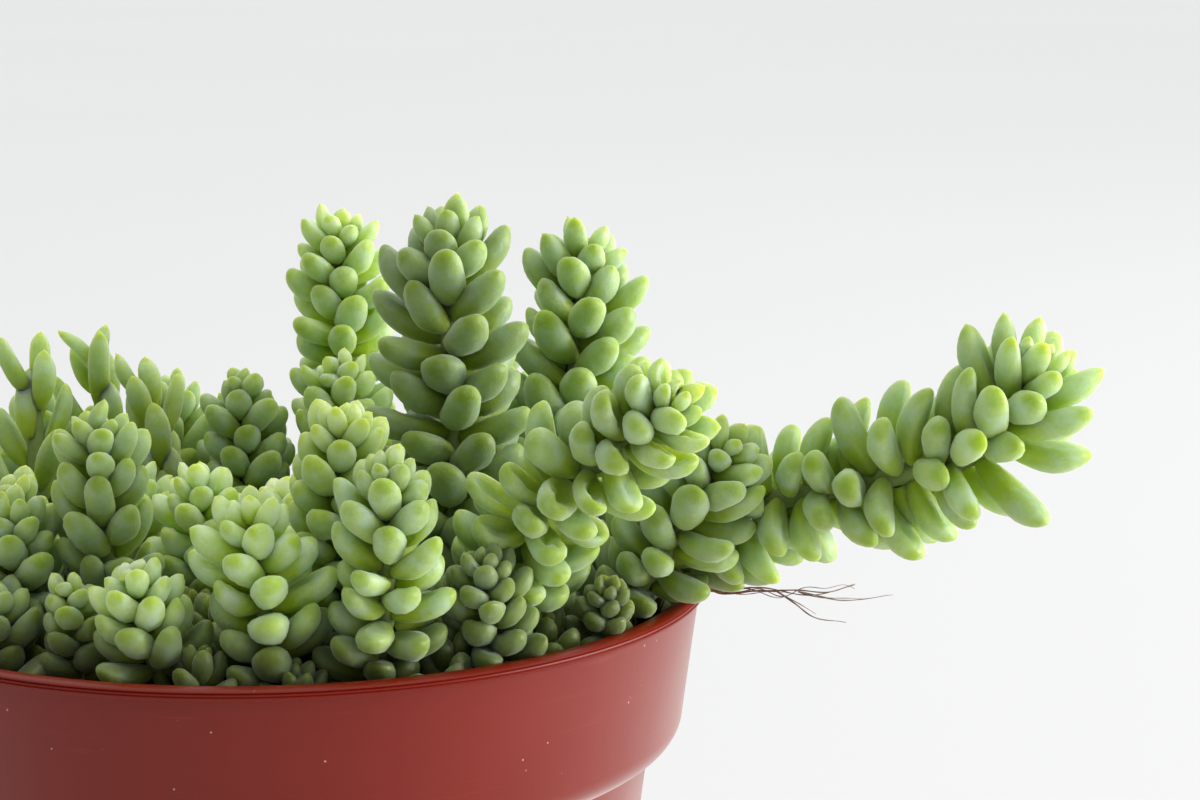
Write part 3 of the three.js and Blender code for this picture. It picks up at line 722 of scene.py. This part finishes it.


def grown_leaves():
    """All leaves of all stems, bent clear of each other. A leaf that finds no room isn't there."""
    parts = [sprouted(name, number) for number, name in enumerate(STEMS)]
    parts += [loose_leaves(), low_sprouts()]
    leaves = {key: np.concatenate([part[key] for part in parts]) for key in parts[0]}
    set_directions(leaves, leaves["outward"])
    stalks = all_stalks()
    for allowed in CROWDED:
        crowded = pressed_apart(leaves, stalks)
        spared = np.arange(len(crowded)) % 2 == 0
        keep = (crowded < allowed) | (spared & (crowded < allowed + SPARED))
        leaves = {key: values[keep] for key, values in leaves.items()}
    middle = leaves["root"][:, 2] + 0.5 * leaves["outward"][:, 2] * leaves["length"]
    # Painted shade: leaves whose middle lies low near the soil are darkened, more the lower they lie, as if
    # the leaves above shade them.
    leaves["dull"] = np.clip((PAINTED_SHADE_BELOW - middle) / PAINTED_SHADE_OVER, 0, 1) * (0.7 + 0.3 * leaves["tone"])
    for name, share in PAINTED_SHADE_STEMS.items():
        mine = leaves["stem"] == list(STEMS).index(name)
        leaves["dull"][mine] = np.maximum(leaves["dull"][mine], share)
    return leaves


# ---- Materials ----


class Nodes:
    """A short way to write the nodes of a material or of the world."""

    def __init__(self, owner):
        owner.use_nodes = True
        self.owner = owner
        self.tree = owner.node_tree
        self.shader = self.tree.nodes.get("Principled BSDF") or self.tree.nodes["Background"]

    def add(self, kind, **settings):
        node = self.tree.nodes.new(kind)
        for key, value in settings.items():
            if key in node.inputs:
                self.put(node.inputs[key], value)
            else:
                setattr(node, key, value)
        return node

    def put(self, socket, value):
        if isinstance(value, bpy.types.NodeSocket):
            self.tree.links.new(value, socket)
        else:
            socket.default_value = value

    def shade(self, **settings):
        """Sets the shader's inputs, whose names have spaces for the underscores."""
        for key, value in settings.items():
            self.put(self.shader.inputs[key.replace("_", " ")], value)

    def read(self, attribute):
        return self.add("ShaderNodeAttribute", attribute_name=attribute).outputs["Fac"]

    def place(self, stretch=(1, 1, 1)):
        coordinates = self.add("ShaderNodeTexCoord").outputs["Object"]
        mapping = self.add("ShaderNodeMapping")
        self.put(mapping.inputs["Vector"], coordinates)
        mapping.inputs["Scale"].default_value = stretch
        return mapping.outputs["Vector"]

    def noise(self, size, detail=3, rough=0.5, stretch=(1, 1, 1)):
        """Noise with features of a size in millimetres."""
        node = self.add("ShaderNodeTexNoise", Detail=detail, Roughness=rough)
        node.inputs["Scale"].default_value = 1 / (size * MM)
        self.put(node.inputs["Vector"], self.place(stretch))
        return node.outputs["Fac"]

    def cells(self, size):
        node = self.add("ShaderNodeTexVoronoi")
        node.inputs["Scale"].default_value = 1 / (size * MM)
        self.put(node.inputs["Vector"], self.place())
        return node.outputs["Distance"]

    def between(self, value, low, high, to_low=0.0, to_high=1.0):
        """Maps a range of a value smoothly to another one."""
        node = self.add("ShaderNodeMapRange", interpolation_type="SMOOTHSTEP")
        self.put(node.inputs["Value"], value)
        for key, number in (("From Min", low), ("From Max", high), ("To Min", to_low), ("To Max", to_high)):
            node.inputs[key].default_value = number
        return node.outputs["Result"]

    def times(self, a, b):
        return self.sum(a, b, "MULTIPLY")

    def sum(self, a, b, operation="ADD"):
        node = self.add("ShaderNodeMath", operation=operation)
        self.put(node.inputs[0], a)
        self.put(node.inputs[1], b)
        return node.outputs[0]

    def mix(self, share, low, high):
        node = self.add("ShaderNodeMix", data_type="RGBA")
        self.put(node.inputs["Factor"], share)
        for socket, colour in ((node.inputs[6], low), (node.inputs[7], high)):
            self.put(socket, colour if isinstance(colour, bpy.types.NodeSocket) else (*colour, 1))
        return node.outputs[2]

    def scaled(self, colour, by):
        node = self.add("ShaderNodeVectorMath", operation="SCALE")
        self.put(node.inputs["Vector"], colour)
        self.put(node.inputs["Scale"], by)
        return node.outputs["Vector"]

    def bump(self, height, strength, depth):
        """A bump of a depth in millimetres."""
        node = self.add("ShaderNodeBump", Strength=strength)
        node.inputs["Distance"].default_value = depth * MM
        self.put(node.inputs["Height"], height)
        self.put(self.shader.inputs["Normal"], node.outputs["Normal"])


def new_material(name):
    return Nodes(bpy.data.materials.new(name))


def leaf_material(name, inner, body, young, tip, pale):
    """Fleshy leaf under a wax bloom: deep green at its foot, pale with wax towards its end, green again
    in a spot at its tip, yellower while young, lighter or darker by its stem's painted light and shade,
    and darkened with painted shade where it stands low."""
    n = new_material(name)
    along, tone, age, shade = n.read("along"), n.read("tone"), n.read("young"), n.read("shade")
    colour = n.mix(n.between(age, 0.15, 0.95, 0, 0.6), body, young)
    patch = n.noise(2.6, 4, 0.6)
    grain = n.noise(0.3, 2, 0.6)
    wax = n.sum(n.between(patch, 0.36, 0.7, 0, 0.44), n.between(along, 0.34, 0.76, 0, 0.32))
    wax = n.sum(wax, n.between(grain, 0.4, 0.7, 0, 0.14))
    colour = n.mix(wax, colour, pale)
    spot = n.times(n.between(along, 0.86, 0.98), n.between(patch, 0.3, 0.7, 0.9, 0.5))
    colour = n.mix(spot, colour, tip)
    colour = n.mix(n.between(along, 0.62, 0.1, 0, 0.85), colour, inner)
    # The colour is scaled by the leaf's random tone and by its stem's painted light and shade, lighter for
    # stems standing in light and darker for shaded ones.
    tone_and_painted_light = n.sum(n.times(tone, 0.2), n.times(shade, 0.75))
    colour = n.scaled(colour, n.sum(tone_and_painted_light, 0.6))
    # Painted shade: low leaves are darkened towards a near-black green.
    colour = n.mix(n.times(n.read("dull"), 0.9), colour, (0.06, 0.082, 0.014))
    n.shade(Base_Color=colour, Roughness=n.between(grain, 0.3, 0.7, 0.42, 0.56))
    n.shade(Subsurface_Weight=0.9, Subsurface_Scale=0.006, Subsurface_Radius=(1.0, 1.0, 0.12))
    n.shade(Sheen_Weight=0.32, Sheen_Roughness=0.42, Sheen_Tint=(0.88, 0.96, 0.92, 1))
    n.shade(Specular_IOR_Level=0.4)
    facet = n.noise(3.4, 1, 0.4)
    fine = n.sum(n.noise(1.1, 3, 0.55), n.times(grain, 0.3))
    n.bump(n.sum(fine, n.times(facet, 1.2)), 0.45, 0.3)
    return n.owner


def mottled_material(name, grain, low, high, bumps, **settings):
    """Two colours mottled by noise of a grain. Bumps are their own noise, a strength and a depth."""
    n = new_material(name)
    n.shade(Base_Color=n.mix(n.noise(*grain), low, high), **settings)
    if bumps:
        noise_of_bumps, strength, depth = bumps
        n.bump(n.noise(*noise_of_bumps), strength, depth)
    return n.owner


def plastic_material(name, veil):
    """Injection-moulded plastic, scuffed by handling, with dust and fine scratches. The veil is how
    strong the pale bloom is that handling has left on it."""
    n = new_material(name)
    cloud = n.noise(22, 4, 0.55)
    colour = n.mix(n.between(cloud, 0.35, 0.65), (0.193, 0.0086, 0.0017), (0.202, 0.0098, 0.0021))
    streak = n.noise(1.4, 3, 0.6, (0.06, 0.06, 1))
    colour = n.mix(n.between(streak, 0.62, 0.78, 0, 0.25), colour, (0.36, 0.07, 0.05))
    dust = n.cells(2.6)
    dust_here = n.noise(7, 2)
    speck = n.times(n.between(dust, 0.07, 0.035), n.between(dust_here, 0.46, 0.56))
    colour = n.mix(n.times(speck, 0.8), colour, (0.62, 0.42, 0.36))
    dirt = n.between(n.cells(5.3), 0.035, 0.018)
    colour = n.mix(n.times(dirt, 0.7), colour, (0.06, 0.02, 0.015))
    fine = n.noise(0.5, 3, 0.6)
    n.shade(Base_Color=colour, Roughness=n.between(cloud, 0.3, 0.7, 0.33, 0.4))
    n.shade(Sheen_Weight=veil, Sheen_Roughness=0.38, Sheen_Tint=(1, 0.92, 0.89, 1))
    n.shade(Specular_IOR_Level=0.28)
    height = n.sum(n.times(fine, 0.3), n.times(streak, 0.5))
    n.bump(n.sum(height, speck), 0.22, 0.12)
    return n.owner


def root_material():
    """Brown root, paler towards its end."""
    n = new_material("dry_root")
    age = n.read("along")
    colour = n.mix(n.noise(0.7, 4), (0.075, 0.030, 0.018), (0.26, 0.12, 0.08))
    colour = n.mix(n.between(age, 0.35, 1, 0, 0.75), colour, (0.50, 0.42, 0.34))
    n.shade(Base_Color=colour, Roughness=0.85)
    n.bump(n.noise(0.3, 4), 0.6, 0.1)
    return n.owner


GREY_GREEN = leaf_material(
    "grey_green_leaf",
    inner=(0.32, 0.45, 0.012),
    body=(0.335, 0.468, 0.014),
    young=(0.385, 0.535, 0.17),
    tip=(0.255, 0.38, 0.02),
    pale=(0.43, 0.582, 0.47),
)
YELLOW_GREEN = leaf_material(
    "yellow_green_leaf",
    inner=(0.36, 0.49, 0.015),
    body=(0.375, 0.505, 0.03),
    young=(0.42, 0.565, 0.18),
    tip=(0.30, 0.42, 0.02),
    pale=(0.46, 0.60, 0.45),
)
DULL_LEAF = leaf_material(
    "dull_leaf",
    inner=(0.05, 0.08, 0.02),
    body=(0.13, 0.18, 0.07),
    young=(0.16, 0.20, 0.07),
    tip=(0.10, 0.11, 0.04),
    pale=(0.26, 0.30, 0.17),
)
STALK_GREENS = (0.16, 0.24, 0.05), (0.30, 0.38, 0.12)
STALK_SHINE = {"Roughness": 0.7, "Subsurface_Weight": 0.2, "Subsurface_Scale": 0.001}
STALK = mottled_material("stalk", (1.5, 4), *STALK_GREENS, ((0.7, 4), 0.4, 0.2), **STALK_SHINE)
POT_PLASTIC = plastic_material("pot_plastic", 0.85)
RIM_PLASTIC = plastic_material("rim_plastic", 0)
SOIL_BROWNS = (0.008, 0.005, 0.003), (0.04, 0.025, 0.015)
SOIL_SHINE = {"Roughness": 0.95, "Specular_IOR_Level": 0.15}
POTTING_SOIL = mottled_material(
    "potting_soil", (2.2, 5, 0.7), *SOIL_BROWNS, ((0.8, 5, 0.7), 0.9, 0.6), **SOIL_SHINE
)
PERLITE_GREYS = (0.34, 0.31, 0.27), (0.66, 0.64, 0.6)
PERLITE = mottled_material(
    "perlite", (0.8, 4, 0.6), *PERLITE_GREYS, ((0.5, 4, 0.6), 0.8, 0.3), Roughness=0.9
)
DRY_ROOT = root_material()

# ---- The stems ----

STALK_SIDES = 10
STALK_FOOT = 3  # how deep a stalk reaches into the soil


def tube(path, distances, radii, sides=STALK_SIDES):
    """A tube along a path, closed at both ends."""
    point, _, side, front = path.at(distances)
    cosines, sines = (wave(round_angles(sides))[None, :, None] for wave in (np.cos, np.sin))
    ring = side[:, None, :] * cosines + front[:, None, :] * sines
    points = (point[:, None, :] + ring * np.asarray(radii)[:, None, None]).reshape(-1, 3)
    return np.vstack([points, point[0], point[-1]]), closed_faces(len(distances), sides)


def leaf_attributes(leaves, along, shade, spare=0):
    """What the leaf material reads at each point of some leaves, and of spare points after them."""

    def spread(values):
        return np.append(np.repeat(values, len(along) // len(values)), np.zeros(spare))

    return {
        "along": np.append(along, np.zeros(spare)),
        "tone": spread(leaves["tone"]),
        "young": spread(leaves["young"]),
        # the stem's painted light and shade, the same at every point
        "shade": np.full(len(along) + spare, shade),
        # how far painted shade darkens each leaf for lying low
        "dull": spread(leaves["dull"]),
    }


def leafy_stem(name, number, leaves):
    leaf, line = STEMS[name]
    mine = {key: values[leaves["stem"] == number] for key, values in leaves.items()}
    points, faces, along = leaf_meshes(mine, seeded(1000 + number))
    path = Path(on_soil(line))
    length = path.length - CROWN_INSET * leaf
    distances = np.linspace(-STALK_FOOT, length, max(int(length / 2), 4))
    stalk_points, stalk_faces = tube(path, distances, stalk_radius(leaf, length - distances))
    whole = joined([(points, faces), (stalk_points, stalk_faces)])
    slots = [0] * len(faces) + [1] * len(stalk_faces)
    attributes = leaf_attributes(mine, along, PAINTED_LIGHT_OF_STEMS.get(name, USUAL_PAINTED_LIGHT), len(stalk_points))
    yellow = name in YELLOW_STEMS
    materials = [YELLOW_GREEN if yellow else GREY_GREEN, STALK]
    piece = mesh_piece(f"leafy_{name}", *whole, materials, slots, attributes)
    return dressed(piece, name)


YELLOW_STEMS = {"stem_front_inner", "stem_inner_front", "stem_inner_edge", "stem_pale_thin"}

# How light the green of a stem is painted, from 0 for the darkest, where it isn't the usual one. This is
# painted light and shade: stems that stand in light are made lighter and shaded ones darker.
USUAL_PAINTED_LIGHT = 0.35
PAINTED_LIGHT_OF_STEMS = {
    "stem_centre": 0,
    "stem_dark_bud": 0.15,
    "stem_back_dark": 0.2,
    "stem_back_left": 0.7,
    "stem_back_right": 0.3,
    "stem_back_short": 0.65,
    "stem_inner_left": 1.25,
    "stem_inner_front": 1.25,
    "stem_middle_left": 1,
    "stem_front_left": 0.75,
    "stem_front_inner": 0.5,
    "branch_arching": 0.3,
    "branch_trailing": 0.42,
    "stem_upright_left": 0.42,
    "stem_upright_edge": 0.42,
    "stem_low_left": 0.75,
    "stem_left": 0.15,
    "stem_far_left": 0.2,
    "stem_edge_left": 0.2,
    "stem_right_rim": 0.2,
    "stem_mid_right": 0,
    "sprout_right": 0,
}

FRESH_BELOW = 0.45  # tone under which a loose leaf is still fresh


def loose_pieces(leaves):
    """The low sprouts and the loose leaves. Those loose leaves that aren't fresh take the faded colours of
    old leaves.
    """
    sprout = leaves["stem"] >= FIRST_SPROUT
    loose = (leaves["stem"] > len(STEMS)) & ~sprout
    fresh = leaves["tone"] < FRESH_BELOW
    for name, share, material, slot, rings, sides in (
        ("loose_leaves", loose & fresh, GREY_GREEN, "grey_green_leaf", LEAF_RINGS, LEAF_SIDES),
        ("dull_loose_leaves", loose & ~fresh, DULL_LEAF, "dull_leaf", LEAF_RINGS, LEAF_SIDES),
        ("low_sprouts", sprout, GREY_GREEN, "grey_green_leaf", SPROUT_RINGS, SPROUT_SIDES),
    ):
        some = {key: values[share] for key, values in leaves.items()}
        points, faces, along = leaf_meshes(some, seeded(600), rings, sides)
        # loose leaves and low sprouts get the darkest painted light
        attributes = leaf_attributes(some, along, 0)
        piece = mesh_piece(name, points, faces, [material], attributes=attributes)
        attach(piece, "root")


leaves = grown_leaves()
for number, name in enumerate(STEMS):
    leafy_stem(name, number, leaves)
loose_pieces(leaves)

# ---- The pot ----

POT_SIDES = 192
SHARP_ANGLE = 32  # degrees over which an edge of the pot isn't smoothed
LIP_HALF = (LIP_PROUD + WALL) / 2  # half the thickness of the rounded rim
RIM_ROUND = 0.5  # height of its rounding
FOOT_HOLLOW = 0.6  # how far the floor stands clear of the ground inside the foot

# The foot from inside to outside, and the lines of the lip upwards: how far each point lies in from
# the foot's or the rim's radius, and how high above the ground or the lip's underside.
FOOT_SECTION = [(5, FOOT_HOLLOW), (4.2, 0.35), (3.8, 0), (1.6, 0)]
LIP_SECTION = [(0.3, -0.1), (0.06, 0.1), (0, 0.34), (0.16, 0.48), (0.02, 0.62), (0.04, 0.8), (0.22, 0.92)]


def pot_profile(lip_bottom):
    """The pot's section, from the middle of its underside out, up, over the rim and down inside."""
    rim_middle = RIM_RADIUS - LIP_HALF
    return [
        (0, FOOT_HOLLOW),
        *((foot_radius - inwards, z) for inwards, z in FOOT_SECTION),
        *arc((foot_radius - 1.4, 1.6), 1.5, -75, 0, 5),
        (shoulder_radius - 30 * WALL_LEAN, band_bottom - 30),
        (shoulder_radius - 1.2 * WALL_LEAN, band_bottom - 1.2),
        *arc((shoulder_radius + 0.55, band_bottom - 0.55), 0.5, 180, 100, 3),
        *arc((shoulder_radius, corner_height), BAND_CORNER, -80, -2, 12),
        (band_radius(corner_height + 4), corner_height + 4),
        (band_radius(90), 90),
        (band_radius(lip_bottom - 0.3), lip_bottom - 0.3),
        (band_radius(lip_bottom) + 0.15, lip_bottom - 0.1),
        *((RIM_RADIUS - inwards, lip_bottom + up) for inwards, up in LIP_SECTION),
        *(
            (rim_middle + LIP_HALF * a, POT_HEIGHT - RIM_ROUND + RIM_ROUND * b)
            for a, b in arc((0, 0), 1, 8, 172, 12)
        ),
        (band_radius(corner_height) - WALL, corner_height),
        *arc((shoulder_radius, corner_height), BAND_CORNER - WALL, 0, -90, 6),
        (shoulder_radius - WALL, ledge),
        (foot_radius - WALL + 0.6, FLOOR + 4),
        (foot_radius - WALL - 0.8, FLOOR),
        (0, FLOOR),
    ]


def drilled(piece):
    """The same piece with its drain holes cut out."""
    for i in range(DRAIN_HOLES):
        angle = FULL_TURN * i / DRAIN_HOLES
        bpy.ops.mesh.primitive_cylinder_add(
            vertices=28,
            radius=DRAIN_RADIUS * MM,
            depth=4 * FLOOR * MM,
            location=(DRAIN_CIRCLE * MM * math.cos(angle), DRAIN_CIRCLE * MM * math.sin(angle), 0),
        )
        drill = bpy.context.object
        cut = piece.modifiers.new("hole", "BOOLEAN")
        cut.operation = "DIFFERENCE"
        cut.object = drill
        depsgraph = bpy.context.evaluated_depsgraph_get()
        holed = bpy.data.meshes.new_from_object(piece.evaluated_get(depsgraph))
        piece.modifiers.clear()
        piece.data = holed
        bpy.data.objects.remove(drill)
    return piece


def pot():
    lip_bottom = POT_HEIGHT - LIP_HEIGHT
    points, faces = lathe(pot_profile(lip_bottom), POT_SIDES)
    slots = [int(points[list(face), 2].max() > lip_bottom) for face in faces]
    piece = drilled(mesh_piece("nursery_pot", points, faces, [POT_PLASTIC, RIM_PLASTIC], slots))
    piece.data.set_sharp_from_angle(angle=math.radians(SHARP_ANGLE))
    return dressed(piece, "pot")


pot()

# ---- The soil ----

SOIL_RINGS = 60
SOIL_SIDES = 180
CLOD = 4  # size of the unevenness of its top
ROUGHNESS = 0.7  # how far that stands up and dips, and the limits of it
HIGHEST, DEEPEST = 1.0, -1.6
SETTLED = 0.5  # how far the top has sunk


def soil():
    """The body of the mix, rough on top."""
    radii = np.linspace(soil_radius, 0, SOIL_RINGS, endpoint=False)
    profile = [
        (0, FLOOR + GAP),
        (foot_radius - WALL - GAP - 1, FLOOR + GAP),
        (shoulder_radius - WALL - GAP, ledge),
        (shoulder_radius - GAP, ledge + GAP),
        (band_radius(corner_height) - WALL - GAP - 0.4, corner_height),
        *((r, soil_height(r)) for r in radii),
        (0, soil_height(0)),
    ]
    points, faces = lathe(profile, SOIL_SIDES)
    top = points[:, 2] > SOIL_EDGE - 0.01
    for i in np.flatnonzero(top):
        x, y, _ = points[i]
        lumps = noise.fractal(Vector((x / CLOD, y / CLOD, 0)), 0.9, 2.1, 4)
        points[i, 2] += max(min(ROUGHNESS * lumps, HIGHEST), DEEPEST) - SETTLED
    return dressed(mesh_piece("potting_mix", points, faces, [POTTING_SOIL]), "soil")


def lump(random, size):
    """A rough little lump: points of a ball pushed in and out."""
    rows, columns = 5, 7
    heights = np.linspace(-0.85, 0.85, rows)
    angles = round_angles(columns)
    flat = np.sqrt(1 - heights**2)
    x, y = np.outer(flat, np.cos(angles)), np.outer(flat, np.sin(angles))
    points = np.stack([x, y, np.repeat(heights[:, None], columns, 1)], -1).reshape(-1, 3)
    points = np.vstack([points, (0, 0, -1), (0, 0, 1)]) * random.uniform(0.72, 1.15, (len(points) + 2, 1))
    return points * (size * random.uniform(0.6, 1.1, 3)), closed_faces(rows, columns)


def crumbs(name, count, smallest, largest, material, seed):
    """Lumps scattered over the soil."""
    random = seeded(seed)
    parts = []
    for _ in range(count):
        size = random.uniform(smallest, largest)
        reach = (soil_radius - 2) * math.sqrt(random.uniform(0, 1))
        angle = random.uniform(0, FULL_TURN)
        points, faces = lump(random, size)
        height = soil_height(reach) - 0.45 + 0.2 * size
        parts.append((points + (reach * math.cos(angle), reach * math.sin(angle), height), faces))
    piece = mesh_piece(name, *joined(parts), [material])
    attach(piece, "root")


soil()
crumbs("soil_crumbs", 900, 0.5, 1.5, POTTING_SOIL, 7)
crumbs("perlite", 30, 0.3, 0.7, PERLITE, 8)

# ---- Fallen leaves and dry roots ----


def fallen_leaf(number, place, length, turn, tip):
    random = seeded(50 + number)
    angle, rise = math.radians(turn), math.radians(tip)
    outward = np.array([math.cos(angle) * math.cos(rise), math.sin(angle) * math.cos(rise), math.sin(rise)])
    across = np.array([math.sin(angle), -math.cos(angle), 0])
    width = 0.5 * length
    height = soil_height(math.hypot(*place)) + width * LEAF_THICKNESS / 2 + GAP
    root = np.array([*place, height]) - 0.4 * length * outward * (1, 1, 0)
    leaf = {"root": root, "outward": outward, "upward": np.cross(across, outward), "across": across}
    leaf |= {"length": length, "width": width, "curl": LEAF_CURL, "bend": 0.03, "hollow": 0.3, "young": 0.0}
    leaf = {key: np.array([value]) for key, value in leaf.items()}
    points, faces, along = leaf_meshes(leaf, random)
    # a middling tone, youth, painted light and painted shade for a fallen leaf
    plain = np.full(len(points), 0.4)
    attributes = {"along": along, "tone": plain, "young": plain, "shade": plain, "dull": plain}
    piece = mesh_piece(f"dropped_leaf_{number}", points, faces, [DULL_LEAF], attributes=attributes)
    return dressed(piece, f"fallen_leaf_{number}")


for number, leaf in enumerate(FALLEN_LEAVES, 1):
    fallen_leaf(number, *leaf)


FIBRE_THINNING = 0.72  # share of its radius that a fibre loses up to its end
PALE_FROM, PALE_OVER = 55, 33  # where along X the roots start to be paler, and how far they go on


def fibre(points, radius, wander, seed):
    """One root fibre that wanders round a path, thinning to its end."""
    random = seeded(seed)
    path = Path(points)
    distances = np.linspace(0, path.length, 46)
    share = distances / path.length
    point, _, side, front = path.at(distances)
    phase = random.uniform(0, FULL_TURN, 4)
    waves = random.uniform(0.25, 0.6, 4)
    sideways = np.sin(distances * waves[0] + phase[0]) + 0.5 * np.sin(distances * waves[1] * 2 + phase[1])
    upward = np.sin(distances * waves[2] + phase[2]) + 0.5 * np.sin(distances * waves[3] * 2 + phase[3])
    loose = wander * (0.6 + share)
    line = point + side * (sideways * loose)[:, None] + front * (upward * loose)[:, None]
    wandering = Path(line)
    at = np.linspace(0, wandering.length, 90)
    thin = radius * (1 - FIBRE_THINNING * at / wandering.length) * (1 + 0.15 * np.sin(at * 2.3 + phase[0]))
    return tube(wandering, at, thin, 6)


def dry_roots():
    main, fork, hanging = (on_soil(strand) for strand in ROOT_STRANDS)
    strands = [
        (main, 0.23, 0.22),
        (main, 0.18, 0.36),
        (main[:5], 0.17, 0.4),
        (main[:5], 0.14, 0.46),
        (main[:4], 0.24, 0.34),
        (main[1:], 0.12, 0.46),
        (fork, 0.13, 0.16),
        (fork[:3], 0.1, 0.3),
        (hanging, 0.14, 0.14),
        (hanging[:3], 0.1, 0.24),
    ]
    points, faces = joined(fibre(*strand, 70 + number) for number, strand in enumerate(strands))
    attributes = {"along": np.clip((points[:, 0] - PALE_FROM) / PALE_OVER, 0, 1)}
    piece = mesh_piece("root_bundle", points, faces, [DRY_ROOT], attributes=attributes)
    return dressed(piece, "dry_roots")


dry_roots()

# ---- The stage: floor, lights and camera ----

CAMERA_PLACE = (45, -386.6, 194.5)
CAMERA_PITCH = 10.29  # degrees that it looks down
CAMERA_LENS = 85
SENSOR_WIDTH = 36
FLOOR_REACH = 30000  # past the edge of every view
KEY_DIRECTION = (0.3, 0.5, 0.81)  # towards the brightest part of the soft surroundings
DIM = 0.33  # how bright the surroundings are away from it
BRIGHT = 1.2  # how much brighter they are there
WINDOW_PLACE = (1600, -40, 230)
WINDOW_AIM = (0, 0, 80)
WINDOW_SIZE = (1260, 430)
WINDOW_POWER = 31


def floor():
    material = mottled_material(
        "pale_floor", (900, 2), (0.72, 0.715, 0.71), (0.75, 0.745, 0.74), None, Roughness=0.8
    )
    corners = [(x * FLOOR_REACH, y * FLOOR_REACH, 0) for x, y in ((-1, -1), (1, -1), (1, 1), (-1, 1))]
    mesh_piece("floor", corners, [(0, 1, 2, 3)], [material])


def window():
    """A large soft light from the right, which no view shows."""
    data = bpy.data.lights.new("window", "AREA")
    data.shape = "RECTANGLE"
    data.size, data.size_y = (side * MM for side in WINDOW_SIZE)
    data.energy = WINDOW_POWER
    lamp = new_object("window", data, WINDOW_PLACE)
    lamp.visible_camera = False
    lamp.rotation_euler = (Vector(WINDOW_AIM) - Vector(WINDOW_PLACE)).to_track_quat("-Z", "Y").to_euler()


def surroundings():
    """Soft white surroundings, brightest above and behind on the right."""
    world = bpy.data.worlds.new("studio")
    bpy.context.scene.world = world
    n = Nodes(world)
    direction = n.add("ShaderNodeTexCoord").outputs["Generated"]
    towards = n.add("ShaderNodeVectorMath", operation="DOT_PRODUCT")
    towards.inputs[1].default_value = KEY_DIRECTION
    n.put(towards.inputs[0], direction)
    strength = n.between(towards.outputs["Value"], -0.1, 1, DIM, DIM + BRIGHT)
    n.shade(Color=(0.98, 0.99, 1.0, 1), Strength=strength)
    bpy.context.scene.view_settings.view_transform = "Standard"


def camera():
    data = bpy.data.cameras.new("photograph")
    data.lens = CAMERA_LENS
    data.sensor_width = SENSOR_WIDTH
    data.clip_start, data.clip_end = 0.01, 100
    seen_from = new_object("photograph", data, CAMERA_PLACE)
    seen_from.rotation_euler = (math.radians(90 - CAMERA_PITCH), 0, 0)
    bpy.context.scene.camera = seen_from


floor()
surroundings()
window()
camera()
